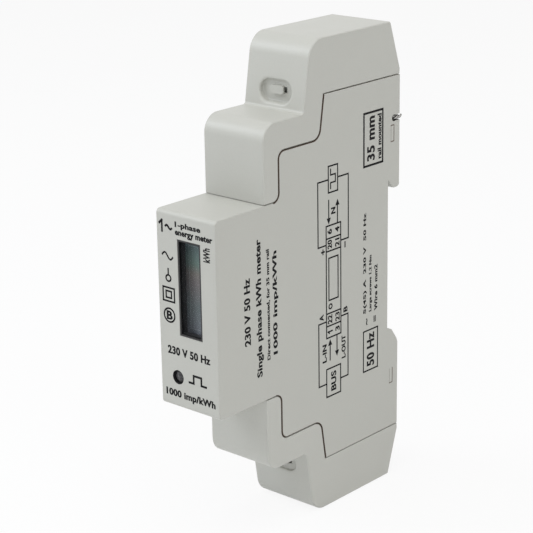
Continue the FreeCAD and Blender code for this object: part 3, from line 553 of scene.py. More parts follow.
def chain(points, first=0):
    """Edges that join points one after another."""
    return [(first + step, first + step + 1) for step in range(len(points) - 1)]


def circle(count):
    """Even directions round a circle, each as its cosine and sine."""
    angles = [2 * math.pi * step / count for step in range(count)]
    return [(math.cos(angle), math.sin(angle)) for angle in angles]


def merged_copy(node):
    """A copy of a CAD node's shape with its points joined and flat faces whole."""
    shape = bmesh.new()
    shape.from_mesh(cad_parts[node].data)
    bmesh.ops.remove_doubles(shape, verts=shape.verts, dist=JOIN_DISTANCE)
    bmesh.ops.dissolve_limit(
        shape, angle_limit=FLAT_ANGLE, verts=shape.verts, edges=shape.edges
    )
    mesh = plain_mesh(shape, node)
    for name in ("custom_normal", "sharp_face", "sharp_edge"):
        if name in mesh.attributes:
            mesh.attributes.remove(mesh.attributes[name])
    return mesh


def smooth(mesh, degrees):
    """Shade a mesh smoothly, with sharp edges past an angle."""
    mesh.shade_smooth()
    mesh.set_sharp_from_angle(angle=math.radians(degrees))
    carrier = carrier_of(mesh)
    weighted = carrier.modifiers.new("even", "WEIGHTED_NORMAL")
    weighted.keep_sharp = True
    weighted.weight = 90
    return evaluated(carrier)


def loop_order(edges):
    """The points of one closed run of edges, in order."""
    left = set(edges)
    edge = min(edges, key=lambda e: sum(e.verts[0].co + e.verts[1].co))
    left.discard(edge)
    order = sorted(edge.verts, key=lambda v: tuple(v.co))
    while left:
        edge = next(e for e in order[-1].link_edges if e in left)
        left.discard(edge)
        order.append(edge.other_vert(order[-1]))
    return order[:-1]


def bend(start, corner, end, steps):
    """Points on a soft curve from start to end that leans towards a corner."""
    shares = [step / steps for step in range(steps + 1)]
    return [start * (1 - t) ** 2 + corner * (2 * t * (1 - t)) + end * t**2 for t in shares]


def soften_eye(mesh):
    """Give the sealing eye's dish a rounded rim and a rounded corner at its floor."""
    shape = bmesh.new()
    shape.from_mesh(mesh)
    shape.normal_update()
    # The dish lies in the largest of the cover's front faces that lean a little.
    leaning = [f for f in shape.faces if f.normal.y < -0.9 and abs(f.normal.z) > 0.1]
    face = max(leaning, key=lambda f: f.calc_area())
    level, lean = face.calc_center_median(), face.normal.copy()
    plane = [f for f in leaning if abs((f.calc_center_median() - level).dot(lean)) < NEAR]
    points = {v for f in plane for e in f.edges if e.calc_face_angle(0) > 0.5 for v in e.verts}
    points = [v.co for v in points if abs(v.co.x) < 5 * MM]
    middle_z = (min(p.z for p in points) + max(p.z for p in points)) / 2
    radius = max(p.z for p in points) - middle_z
    half = max(p.x for p in points) - radius

    def away(place):
        return Vector((place.x - max(-half, min(half, place.x)), 0, place.z - middle_z))

    def on_wall(place):
        return abs(away(place).length - radius) < 0.03 * MM

    upright = [f for f in shape.faces if abs(f.normal.y) < 0.5]
    walls = [f for f in upright if all(on_wall(v.co) for v in f.verts)]
    bmesh.ops.delete(shape, geom=walls, context="FACES")
    free = [e for e in shape.edges if len(e.link_faces) == 1]
    floor_y = max(v.co.y for e in free for v in e.verts)
    foot = [e for e in free if all(abs(v.co.y - floor_y) < 0.01 * MM for v in e.verts)]
    rim = loop_order(set(free) - set(foot))
    rim_reach, foot_reach, margin = sizes().dish_round, sizes().dish_round / 2, 0.1 * MM
    # Shares of the dish's depth where the rim's rounding ends and the floor's begins.
    rim_end, foot_start = 0.45, 0.6
    paths = []
    for point in rim:
        place = point.co.copy()
        out = away(place).normalized()
        drop = Vector((0, floor_y - place.y, 0))
        inwards, in_plane = -out * foot_reach, out - Vector((0, out.z * lean.z / lean.y, 0))
        low = place + drop
        path = bend(place + in_plane * rim_reach, place, place + drop * rim_end, 6)
        path += bend(place + drop * foot_start, low, low + inwards, 5)
        paths.append([point] + [shape.verts.new(step) for step in path])
        point.co = place + in_plane * (rim_reach + margin)
    for v in {v for e in foot for v in e.verts}:
        v.co -= away(v.co).normalized() * (foot_reach + margin)
    ring = []
    for near, far in zip(paths, paths[1:] + paths[:1]):
        for step in range(len(near) - 1):
            shape.faces.new((near[step], far[step], far[step + 1], near[step + 1]))
        ring.append(shape.edges.get((near[-1], far[-1])))
    bmesh.ops.bridge_loops(shape, edges=ring + foot)
    bmesh.ops.recalc_face_normals(shape, faces=shape.faces)
    shape.to_mesh(mesh)
    shape.free()


def round_outline(node, rounding):
    """A CAD shell with its outer side edges and the nose's border rounded."""
    mesh = merged_copy(node)
    if node.endswith("terminal_cover"):
        soften_eye(mesh)
    shape = bmesh.new()
    shape.from_mesh(mesh)
    shape.normal_update()
    wire, wire_clearance = sum(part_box("seal_pin"), Vector()) / 2, 3 * MM
    nose = max((v.co.z for v in shape.verts if v.co.y < FACE_Y + NEAR), default=0)

    def outer(edge):
        places = [v.co for v in edge.verts]
        from_wire = [math.hypot(p.y - wire.y, p.z - wire.z) for p in places if p.x > 0]
        if any(distance < wire_clearance for distance in from_wire):
            return False
        side = all(p.x > SIDE_X - NEAR for p in places)
        if node != "case_body":
            return side or all(p.x < NEAR - SIDE_X for p in places)
        border = [abs(p.x) > SIDE_X - NEAR or abs(p.z) > nose - NEAR for p in places]
        return side or (all(border) and all(p.y < FACE_Y + NEAR for p in places))

    sharp = [e for e in shape.edges if e.is_convex and e.calc_face_angle(0) > EDGE_ANGLE]
    bmesh.ops.bevel(
        shape,
        geom=[e for e in sharp if outer(e)],
        offset=rounding,
        segments=2,
        profile=0.5,
        affect="EDGES",
        clamp_overlap=False,
    )
    shape.to_mesh(mesh)
    shape.free()
    return smooth(mesh, 50)


def softened_copy(node, rounding, degrees=50):
    """A CAD shape with small rounded edges and even shading."""
    carrier = carrier_of(merged_copy(node))
    bevel = carrier.modifiers.new("edges", "BEVEL")
    bevel.width = rounding
    bevel.segments = 2
    bevel.limit_method = "ANGLE"
    bevel.angle_limit = EDGE_ANGLE
    bevel.use_clamp_overlap = True
    bevel.miter_outer = "MITER_ARC"
    return smooth(evaluated(carrier), degrees)


def lathe(shape, profile, x, z, segments=32):
    """Turn a list of (depth, radius) pairs about a line along Y."""
    rings = []
    for depth, radius in profile:
        ways = circle(segments) if radius else [(0, 0)]
        places = [(x + radius * across, depth, z + radius * up) for across, up in ways]
        rings.append([shape.verts.new(place) for place in places])
    for near, far in zip(rings, rings[1:]):
        for step in range(segments):
            following = (step + 1) % segments
            corners = [near[step % len(near)], near[following % len(near)]]
            corners += [far[following % len(far)], far[step % len(far)]]
            shape.faces.new(list(dict.fromkeys(corners)))


def add_block(shape, low, high):
    """Add a closed block between two corners."""
    low, high = Vector(low), Vector(high)
    place = Matrix.Translation((low + high) / 2) @ Matrix.Diagonal((*(high - low), 1))
    bmesh.ops.create_cube(shape, size=1, matrix=place)


# Geometry Nodes trees


def new_tree(name, inputs):
    """Start a Geometry Nodes tree with named inputs."""
    tree = bpy.data.node_groups.new(name, "GeometryNodeTree")
    tree.interface.new_socket("Geometry", in_out="INPUT", socket_type="NodeSocketGeometry")
    for label, kind, value in inputs:
        socket = tree.interface.new_socket(label, in_out="INPUT", socket_type=kind)
        if value is not None:
            socket.default_value = value
    tree.interface.new_socket("Geometry", in_out="OUTPUT", socket_type="NodeSocketGeometry")
    return tree, tree.nodes.new("NodeGroupInput")


def end_tree(tree, source, geometry):
    """Realize the shapes, set their material and close the tree."""
    real = add_node(tree, "GeometryNodeRealizeInstances", {0: geometry})
    values = {"Geometry": real.outputs[0], "Material": source.outputs["Finish"]}
    painted = add_node(tree, "GeometryNodeSetMaterial", values)
    result = tree.nodes.new("NodeGroupOutput")
    tree.links.new(painted.outputs[0], result.inputs["Geometry"])
    return tree


def swept(tree, path, section):
    """Sweep a section along a path and close the ends."""
    values = {"Curve": path, "Profile Curve": section.outputs[0], "Fill Caps": True}
    return add_node(tree, "GeometryNodeCurveToMesh", values).outputs[0]


@built_once
def printed_line():
    """Gives flat strokes of ink along runs and rings."""
    inputs = [
        ("Line Width", "NodeSocketFloat", 0.0003),
        ("Ink Depth", "NodeSocketFloat", 0.00003),
        ("Finish", "NodeSocketMaterial", None),
    ]
    tree, source = new_tree("printed_line", inputs)
    path = add_node(tree, "GeometryNodeMeshToCurve", {"Mesh": source.outputs["Geometry"]})
    level = add_node(tree, "GeometryNodeSetCurveNormal", {"Curve": path.outputs[0]}, mode="Z_UP")
    values = {"Width": source.outputs["Line Width"], "Height": source.outputs["Ink Depth"]}
    section = add_node(tree, "GeometryNodeCurvePrimitiveQuadrilateral", values)
    return end_tree(tree, source, swept(tree, level.outputs[0], section))


@built_once
def screw_thread():
    """Gives a screw's thread as a ridge that winds along a core."""
    inputs = [
        ("Crest Radius", "NodeSocketFloat", 0.002),
        ("Ridge Radius", "NodeSocketFloat", 0.0003),
        ("Turns", "NodeSocketFloat", 8.0),
        ("Threaded Length", "NodeSocketFloat", 0.006),
        ("Finish", "NodeSocketMaterial", None),
    ]
    tree, source = new_tree("screw_thread", inputs)
    crest, ridge = source.outputs["Crest Radius"], source.outputs["Ridge Radius"]
    reach = calculate(tree, "SUBTRACT", crest, ridge)
    values = {
        "Resolution": 20,
        "Rotations": source.outputs["Turns"],
        "Start Radius": reach,
        "End Radius": reach,
        "Height": source.outputs["Threaded Length"],
    }
    winding = add_node(tree, "GeometryNodeCurveSpiral", values)
    section = add_node(tree, "GeometryNodeCurvePrimitiveCircle", {"Resolution": 6, "Radius": ridge})
    wound = swept(tree, winding.outputs[0], section)
    values = {"Geometry": wound, "Rotation": (-math.pi / 2, 0, 0)}
    laid = add_node(tree, "GeometryNodeTransform", values)
    return end_tree(tree, source, laid.outputs[0])


@built_once
def bent_wire():
    """Gives round wire along a route, with its corners bent to a radius."""
    inputs = [
        ("Wire Radius", "NodeSocketFloat", 0.0004),
        ("Bend Radius", "NodeSocketFloat", 0.0006),
        ("Finish", "NodeSocketMaterial", None),
    ]
    tree, source = new_tree("bent_wire", inputs)
    path = add_node(tree, "GeometryNodeMeshToCurve", {"Mesh": source.outputs["Geometry"]})
    values = {
        "Curve": path.outputs[0],
        "Radius": source.outputs["Bend Radius"],
        "Count": 6,
        "Limit Radius": True,
    }
    bent = add_node(tree, "GeometryNodeFilletCurve", values, mode="POLY")
    values = {"Resolution": 14, "Radius": source.outputs["Wire Radius"]}
    section = add_node(tree, "GeometryNodeCurvePrimitiveCircle", values)
    return end_tree(tree, source, swept(tree, bent.outputs[0], section))


@built_once
def ridge_row():
    """Gives a row of small ridges, such as the teeth of a jaw."""
    inputs = [
        ("Count", "NodeSocketInt", 5),
        ("Start", "NodeSocketVector", (0.0, 0.0, 0.0)),
        ("Step", "NodeSocketVector", (0.0, 0.0, 0.001)),
        ("Sides", "NodeSocketInt", 4),
        ("Ridge Radius", "NodeSocketFloat", 0.0002),
        ("Ridge Length", "NodeSocketFloat", 0.004),
        ("Ridge Turn", "NodeSocketRotation", None),
        ("Finish", "NodeSocketMaterial", None),
    ]
    tree, source = new_tree("ridge_row", inputs)
    values = {
        "Count": source.outputs["Count"],
        "Start Location": source.outputs["Start"],
        "Offset": source.outputs["Step"],
    }
    row = add_node(tree, "GeometryNodeMeshLine", values, mode="OFFSET")
    values = {
        "Vertices": source.outputs["Sides"],
        "Radius": source.outputs["Ridge Radius"],
        "Depth": source.outputs["Ridge Length"],
    }
    ridge = add_node(tree, "GeometryNodeMeshCylinder", values)
    values = {
        "Points": row.outputs[0],
        "Instance": ridge.outputs["Mesh"],
        "Rotation": source.outputs["Ridge Turn"],
    }
    ridges = add_node(tree, "GeometryNodeInstanceOnPoints", values)
    return end_tree(tree, source, ridges.outputs[0])


def grow(tree, points, edges, values):
    """Run a tree on a route of points and return the plain mesh that it makes."""
    mesh = bpy.data.meshes.new("route")
    mesh.from_pydata([tuple(point) for point in points], edges, [])
    carrier = carrier_of(mesh)
    modifier = carrier.modifiers.new("build", "NODES")
    modifier.node_group = tree
    for item in tree.interface.items_tree:
        if item.item_type == "SOCKET" and item.in_out == "INPUT" and item.name in values:
            modifier[item.identifier] = values[item.name]
    return evaluated(carrier)


# Print on the nose and the side


def front_face():
    """Takes flat print to the nose: across is X and up is Z."""
    return Matrix(((1, 0, 0, 0), (0, 0, -1, FACE_Y), (0, 1, 0, 0), (0, 0, 0, 1)))


def side_face():
    """Takes flat print to the right side: along is Z and letter tops point forwards."""
    return Matrix(((0, 0, 1, SIDE_X), (0, -1, 0, 0), (1, 0, 0, 0), (0, 0, 0, 1)))


def add_word(shape, letters, left, right, foot, head, weight, turned=False):
    """Add lettering that fills a box of the flat print, in millimetres.

    It's laid down twice, the second time a little aside and a hair lower, which makes it bold.
    """
    text = bpy.data.curves.new("lettering", "FONT")
    text.body = letters
    text.resolution_u = 3
    text.offset = weight
    text.extrude = 0.1
    text.space_character = 1 + 1.6 * weight
    mesh = evaluated(carrier_of(text))
    mesh.transform(Matrix.Rotation(math.pi / 2 if turned else 0, 4, "Z"))
    places = [vertex.co for vertex in mesh.vertices]
    low = Vector([min(place[axis] for place in places) for axis in range(3)])
    high = Vector([max(place[axis] for place in places) for axis in range(3)])
    wanted_low = Vector((left * MM, foot * MM, -sizes().ink_root))
    wanted_high = Vector((right * MM, head * MM, sizes().ink_height))
    for vertex in mesh.vertices:
        for axis in range(3):
            share = (vertex.co[axis] - low[axis]) / (high[axis] - low[axis])
            vertex.co[axis] = wanted_low[axis] + share * (wanted_high[axis] - wanted_low[axis])
    shape.from_mesh(mesh)
    mesh.transform(Matrix.Translation((sizes().word_shift, 0, -sizes().ink_height / 6)))
    shape.from_mesh(mesh)
    bpy.data.meshes.remove(mesh)


def add_strokes(shape, runs, rings, width):
    """Add drawn lines: runs through points, and rings with a centre.

    A run with many points is a curve and stays whole. A straight run is laid stroke by
    stroke, each a hair lower or higher than the last, so that no two share a face.
    """
    points, edges = [], []
    hair, longest_straight, ring_steps = sizes().ink_height / 6, 8, 28
    for run in runs:
        if len(run) > longest_straight:
            edges += chain(run, len(points))
            points += [Vector((*place, 0)) * MM for place in run]
            continue
        for start, end in zip(run, run[1:]):
            start, end = Vector((*start, 0)) * MM, Vector((*end, 0)) * MM
            past = (end - start).normalized() * width / 2
            drop = Vector((0, 0, hair * (len(edges) % 3)))
            points += [start - past - drop, end + past - drop]
            edges.append((len(points) - 2, len(points) - 1))
    for across, up, radius in rings:
        first = len(points)
        for step, (along, above) in enumerate(circle(ring_steps)):
            points.append(Vector((across + radius * along, up + radius * above, 0)) * MM)
            edges.append((first + step, first + (step + 1) % ring_steps))
    height, root = sizes().ink_height, sizes().ink_root
    places = [point + UP * (height - root) / 2 for point in points]
    values = {"Line Width": width, "Ink Depth": height + root, "Finish": ink()}
    mesh = grow(printed_line(), places, edges, values)
    shape.from_mesh(mesh)
    bpy.data.meshes.remove(mesh)


def add_arrowhead(shape, tip, direction, reach=1.5, spread=0.75):
    """Add a filled arrowhead to the flat print."""
    tip, along = Vector(tip), Vector(direction).normalized()
    across = Vector((-along.y, along.x))
    corners = [tip, tip - along * reach + across * spread, tip - along * reach - across * spread]
    lower, upper = [
        [shape.verts.new((corner.x * MM, corner.y * MM, level)) for corner in corners]
        for level in (-sizes().ink_root, sizes().ink_height)
    ]
    shape.faces.new(reversed(lower))
    shape.faces.new(upper)
    for index in range(3):
        following = (index + 1) % 3
        shape.faces.new((lower[index], lower[following], upper[following], upper[index]))


def sine(left, right, middle, swing, steps=11):
    """One full wave between two ends of the flat print."""
    turns = [step / steps for step in range(steps + 1)]
    return [(left + (right - left) * t, middle + swing * math.sin(2 * math.pi * t)) for t in turns]


def rectangle(left, right, foot, head):
    return [(left, foot), (right, foot), (right, head), (left, head), (left, foot)]


def print_front():
    """Ratings, symbols and the pulse mark on the nose."""
    shape = bmesh.new()
    # Each word: its letters, then its left, right, foot and head.
    for letters, *box in (
        ("1-phase", -3.1, 4.4, 18.9, 20.55),
        ("energy meter", -3.1, 7.8, 17.1, 18.8),
        ("B", -6.42, -4.68, -2.25, -0.2),
        ("230 V 50 Hz", -6.4, 6.3, -10.15, -8.2),
        ("1000 imp/kWh", -7.3, 7.5, -20.5, -18.3),
    ):
        add_word(shape, letters, *box, FRONT_WEIGHT)
    add_word(shape, "kWh", 5.1, 7.0, 13.1, 16.3, FRONT_WEIGHT, turned=True)
    line = sizes().front_line
    thin = [
        sine(-7.2, -3.9, 12.35, 0.75),
        [(-5.5, 9.4), (-5.5, 8.1)],
        rectangle(-7.25, -3.85, 2.0, 5.1),
        rectangle(-6.35, -4.75, 2.8, 4.3),
    ]
    add_strokes(shape, thin, [(-5.5, 7.3, 0.72), (-5.53, -1.22, 1.58)], line)
    bold = [
        [(-7.7, 19.5), (-6.95, 20.2), (-6.95, 17.75)],
        sine(-6.0, -3.95, 18.9, 0.42),
        [(-0.1, -15.6), (1.2, -15.6), (1.2, -13.8), (3.5, -13.8), (3.5, -15.6), (4.9, -15.6)],
    ]
    add_strokes(shape, bold, [], line * 1.25)
    mesh = mesh_of(shape, "front_print")
    mesh.transform(front_face())
    link_piece("front_print", mesh, ink(), "case")


def flat(run):
    """Points on the side, given as depth and height, in the flat print's order."""
    return [(up, -depth) for depth, up in run]


def print_side():
    """The wiring diagram and the rating lines on the right side."""
    shape = bmesh.new()
    # Each mark: its letters, the depth and height of its middle, its run and letter height.
    marks = [
        ("230 V 50 Hz", -50.0, -0.2, 15.4, 2.0),
        ("Single phase kWh meter", -46.0, -0.4, 31.8, 2.3),
        ("Direct connected, for 35 mm rail", -43.1, -0.3, 25.6, 1.2),
        ("1000 imp/kWh", -40.7, -0.4, 24.0, 1.9),
        ("5(45) A  230 V  50 Hz", -9.0, 0.6, 24.6, 1.35),
        ("Large screws 1.2 Nm", -6.9, -4.7, 13.9, 1.25),
        ("Wire 6 mm2", -4.9, -6.2, 11.3, 1.25),
        ("~", -8.3, -13.9, 1.6, 0.6),
        ("=", -5.3, -13.9, 1.5, 0.8),
        ("35 mm", -6.9, 30.2, 10.4, 2.9),
        ("rail mounted", -3.75, 30.2, 10.6, 1.5),
        ("50 Hz", -6.85, -21.2, 8.4, 2.9),
        ("N", -20.6, 16.2, 1.5, 1.6),
        ("6", -21.9, 11.5, 1.2, 1.6),
        ("4", -19.2, 11.5, 1.2, 1.6),
        ("20", -21.9, 8.5, 2.1, 1.6),
        ("21", -19.2, 8.4, 1.9, 1.6),
        ("+", -24.3, 7.2, 1.3, 1.3),
        ("-", -16.4, 7.2, 1.4, 0.4),
        ("22", -21.9, -9.5, 2.1, 1.6),
        ("23", -19.2, -9.5, 2.1, 1.6),
        ("3", -19.2, -12.4, 1.1, 1.6),
        ("A", -24.9, -8.4, 1.5, 1.5),
        ("B", -16.3, -8.5, 1.3, 1.5),
        ("L-IN", -23.9, -17.4, 4.4, 1.5),
        ("L-OUT", -17.0, -17.6, 5.6, 1.5),
        ("BUS", -20.65, -24.95, 4.8, 1.9),
    ]
    for letters, depth, up, run, tall in marks:
        ends = (up - run / 2, up + run / 2, -depth - tall / 2, -depth + tall / 2)
        add_word(shape, letters, *ends, SIDE_WEIGHT)
    add_strokes(shape, [rectangle(24.0, 36.4, 2.55, 9.5)], [], sizes().side_line * 1.4)
    runs = [
        rectangle(-26.3, -16.15, 4.15, 9.55),
        rectangle(20.7, 26.8, 19.0, 22.3),
        rectangle(-13.85, 13.0, 17.95, 23.15),
        rectangle(-4.8, 5.3, 18.95, 22.25),
        rectangle(-28.4, -21.5, 18.1, 23.2),
    ]
    for up in (10.0, 7.0, -7.95, -11.0):
        runs.append([(up, 17.95), (up, 23.15)])
    runs.append([(-12.8, 22.15), (-12.4, 22.6), (-12.4, 21.1)])
    pulse = [(-21.5, 21.6), (-21.5, 22.9), (-19.8, 22.9), (-19.8, 24.7)]
    pulse += [(-21.5, 24.7), (-21.5, 26.0)]
    for run in (
        [(-22.35, 23.75), (-26.0, 23.75), (-26.0, 8.6), (-23.15, 8.6)],
        [(-18.96, 23.75), (-15.2, 23.75), (-15.2, 8.6), (-17.95, 8.6)],
        [(-23.15, -9.75), (-25.95, -9.75), (-25.95, -25.05), (-23.2, -25.05)],
        [(-17.95, -9.75), (-15.35, -9.75), (-15.35, -25.05), (-18.1, -25.05)],
        [(-22.2, 18.9), (-22.2, 14.6)],
        [(-19.1, 13.1), (-19.1, 17.4)],
        [(-21.9, -19.4), (-21.9, -15.8)],
        [(-19.4, -14.1), (-19.4, -17.8)],
        pulse,
    ):
        runs.append(flat(run))
    add_strokes(shape, runs, [(-6.35, 21.7, 0.55)], sizes().side_line)
    arrows = ((-22.2, 13.3, -1), (-19.1, 18.7, 1), (-21.9, -14.3, 1), (-19.4, -19.2, -1))
    for depth, up, way in arrows:
        add_arrowhead(shape, (up, -depth), (way, 0))
    mesh = mesh_of(shape, "side_print")
    mesh.transform(side_face())
    link_piece("side_print", mesh, ink(), "case")


def draw_latches():
    """Thin seams round the two latches near the rear edge of the side."""
    shape = bmesh.new()
    runs = [
        flat([(0.6, 31.9), (1.7, 31.9), (1.7, 28.05), (0.6, 28.05)]),
        flat([(1.7, -28.4), (1.7, -32.1), (0.6, -32.1)]),
    ]
    add_strokes(shape, runs, [], sizes().latch_line)
    faint = [flat([(0.6, 31.9), (0.6, 28.05)]), flat([(0.6, -28.4), (0.6, -32.1)])]
    add_strokes(shape, faint, [], sizes().latch_line / 3)
    mesh = mesh_of(shape, "latch_seams")
    mesh.transform(side_face())
    seam = plastic("latch_seam", colours().seam, 0.7)
    link_piece("latch_seams", mesh, seam, "case")


# The pieces


def shade_pockets(mesh):
    """Paint shade on the walls of the lamp's hole and the sealing wire's hole."""
    mesh.materials.append(plastic("pocket_shade", colours().pocket, 0.7, Specular_IOR_Level=0.2))
    lamp = (LAMP_LOW + LAMP_HIGH) / 2
    low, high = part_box("seal_pin")
    wire_z = (low.z + high.z) / 2
    for face in mesh.polygons:
        place, normal = face.center, face.normal
        off_lamp = math.hypot(place.x - lamp.x, place.z - lamp.z)
        in_lamp = off_lamp < LENS_HOLE and place.y < LAMP_HIGH.y and abs(normal.y) < WALL_LEAN
        beside_wire = low.y - WIRE_HOLE < place.y < low.y + 2 * WIRE_HOLE
        near_wire = beside_wire and abs(place.z - wire_z) < WIRE_HOLE and place.x > low.x
        if in_lamp or (near_wire and abs(normal.x) < WALL_LEAN):
            face.material_index = 1


def shade_seams(piece, *beside):
    """Paint shade on a piece's rounded side edges where it meets the pieces beside it."""
    mesh = piece.data
    mesh.materials.append(plastic("seam_shade", colours().gap, 0.8, Specular_IOR_Level=0.1))
    dark = len(mesh.materials) - 1
    points, faces = [], []
    for name in beside:
        first = len(points)
        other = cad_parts[name].data
        points += [vertex.co.copy() for vertex in other.vertices]
        faces += [[first + index for index in face.vertices] for face in other.polygons]
    tree = BVHTree.FromPolygons(points, faces)
    inner_edge, reach = SIDE_X - 1.2 * sizes().edge_round, 2.5 * sizes().edge_round
    least_lean, most_lean = 0.2, 0.75
    for face in mesh.polygons:
        leans = least_lean < abs(face.normal.x) < most_lean
        rounded = abs(face.center.x) > inner_edge and leans
        if rounded and tree.find_nearest(face.center, reach)[0]:
            face.material_index = dark


def make_housing():
    """The moulded case and the lid that closes its left side."""
    mesh = round_outline("case_body", sizes().edge_round)
    piece = link_piece("moulded_case", mesh, case_plastic(), "case", ["case_body"])
    shade_pockets(piece.data)
    shade_seams(piece, "top_terminal_cover", "bottom_terminal_cover")
    mesh = softened_copy("side_lid", 0.1 * MM)
    lid = plastic("moulded_lid", colours().case, 0.55)
    link_piece("pressed_lid", mesh, lid, "case", ["side_lid"])


def make_covers():
    """The two stepped terminal covers."""
    for end in ("top", "bottom"):
        node = f"{end}_terminal_cover"
        mesh = round_outline(node, sizes().edge_round)
        name, body = f"{end}_stepped_cover", f"{end}_cover"
        link_piece(name, mesh, cover_plastic(), body, [node])


def make_display():
    """The clear window, its black bezel and the resting display."""
    dress(["display_window"], clear_window())
    bezel = plastic("moulded_bezel", colours().bezel, 0.4, 0.2, 0.2, Specular_IOR_Level=0.4)
    dress(["lcd_bezel"], bezel)
    dress(["lcd_glass"], display_finish())
    strip = plastic("contact_rubber", paint(60, 62, 66), 0.7, 0.2, 0.1)
    dress(["left_contact_strip", "right_contact_strip"], strip)


def make_lamp():
    """The pulse lamp: a low crowned lens on a collar, and its two leads."""
    middle = (LAMP_LOW + LAMP_HIGH) / 2
    collar = (LAMP_HIGH.x - LAMP_LOW.x) / 2
    lens = collar - 0.4 * MM
    crown, steps = 0.6 * MM, 8
    tip, base = LAMP_LOW.y, LAMP_HIGH.y - 2 * MM
    profile = [(tip, 0)]
    for step in range(1, steps + 1):
        angle = math.pi / 2 * step / steps
        profile.append((tip + crown * (1 - math.cos(angle)), lens * math.sin(angle)))
    profile += [(base - MM, lens), (base - MM, collar), (base, collar), (base, 0)]
    shape = bmesh.new()
    lathe(shape, profile, middle.x, middle.z)
    half_lead = 0.25 * MM
    for lead in (middle.x - 1.27 * MM, middle.x + 1.27 * MM):
        near = (lead - half_lead, base, middle.z - half_lead)
        far = (lead + half_lead, LAMP_HIGH.y, middle.z + half_lead)
        add_block(shape, near, far)
    mesh = smooth(mesh_of(shape, "lamp"), 40)
    link_piece("pulse_lamp", mesh, lens_finish(), "case", ["pulse_led"])


def wire_middle(low, high, radius, bend_radius, steps=8):
    """The middle line of the sealing wire: in along X, round a bend, then back along Y."""
    z = (low.z + high.z) / 2
    corner = Vector((high.x - radius, low.y + radius, z))
    line = [Vector((low.x, corner.y, z))]
    for step in range(steps + 1):
        angle = math.pi / 2 * step / steps
        away = Vector((math.sin(angle) - 1, 1 - math.cos(angle), 0)) * bend_radius
        line.append(corner + away)
    line.append(Vector((corner.x, high.y - 0.15 * MM, z)))
    return line


def divided(line, step):
    """Points at even steps along a line of points, with the direction at each."""
    points = []
    for start, end in zip(line, line[1:]):
        count = max(1, round((end - start).length / step))
        for index in range(count):
            points.append((start.lerp(end, index / count), (end - start).normalized()))
    points.append((line[-1], (line[-1] - line[-2]).normalized()))
    return points


def make_seal_wire():
    """The sealing wire: two twisted strands, bent back past the rear edge."""
    low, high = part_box("seal_pin")
    radius = (high.z - low.z) / 2
    strand = radius / 2
    steel = metal("wire_steel", colours().steel, (1.0, 0.1, 1.0), 0.3)
    middle = divided(wire_middle(low, high, radius, sizes().wire_bend), 0.12 * MM)
    values = {"Wire Radius": strand, "Bend Radius": 0.0, "Finish": steel}
    strands = []
    for first_angle in (0, math.pi):
        route, run = [], 0.0
        for index, (place, along) in enumerate(middle):
            if index:
                run += (place - middle[index - 1][0]).length
            angle = first_angle + 2 * math.pi * run / sizes().wire_lay
            away = along.cross(UP) * math.cos(angle) + UP * math.sin(angle)
            route.append(place + away * strand)
        strands.append(grow(bent_wire(), route, chain(route), values))
    mesh = smooth(joined("wire", strands), 60)
    link_piece("seal_wire", mesh, steel, "case", ["seal_pin"])


def make_clip():
    """The sliding rail clip and its folded spring."""
    clip = plastic("moulded_clip", colours().clip, 0.5)
    mesh = softened_copy("rail_clip", 0.1 * MM)
    link_piece("sliding_clip", mesh, clip, "rail_clip", ["rail_clip"])
    low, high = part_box("rail_clip_spring")
    middle, folds = (low + high) / 2, 6
    radius = (high.y - low.y) / 4
    reach = (high.x - low.x) / 2 - radius
    top = high.z - radius
    pitch = (high.z - low.z - 2 * radius) / folds
    route = [(middle.x - reach, middle.y, top)]
    for fold in range(folds):
        side = -reach if fold % 2 else reach
        for drop in (fold, fold + 1):
            route.append((middle.x + side, middle.y, top - drop * pitch))
    # The route names its end twice, which makes its last bend a little tighter.
    route.append(route[-1])
    steel = metal("spring_wire", colours().steel, (1.0, 1.0, 0.1), 0.28)
    values = {"Wire Radius": radius, "Bend Radius": pitch * 0.45, "Finish": steel}
    mesh = smooth(grow(bent_wire(), route, chain(route), values), 60)
    spring = link_piece("clip_spring", mesh, steel, "case", ["rail_clip_spring"])
    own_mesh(spring)


def cut_drive(carrier, low, high, depth):
    """Cut a slot and a short cross into a screw's head. Gives the cutting blocks."""
    middle = (low + high) / 2
    reach = (high.x - low.x) / 2
    half_slot, past = 0.4 * MM, 0.2 * MM
    blocks = []
    for across, up in ((reach + past, half_slot), (half_slot, reach * 0.62)):
        block = bmesh.new()
        near = (middle.x - across, low.y - past, middle.z - up)
        far = (middle.x + across, low.y + depth, middle.z + up)
        add_block(block, near, far)
        blocks.append(carrier_of(mesh_of(block, "drive")))
        cut = carrier.modifiers.new("drive", "BOOLEAN")
        cut.operation = "DIFFERENCE"
        cut.object = blocks[-1]
    return blocks


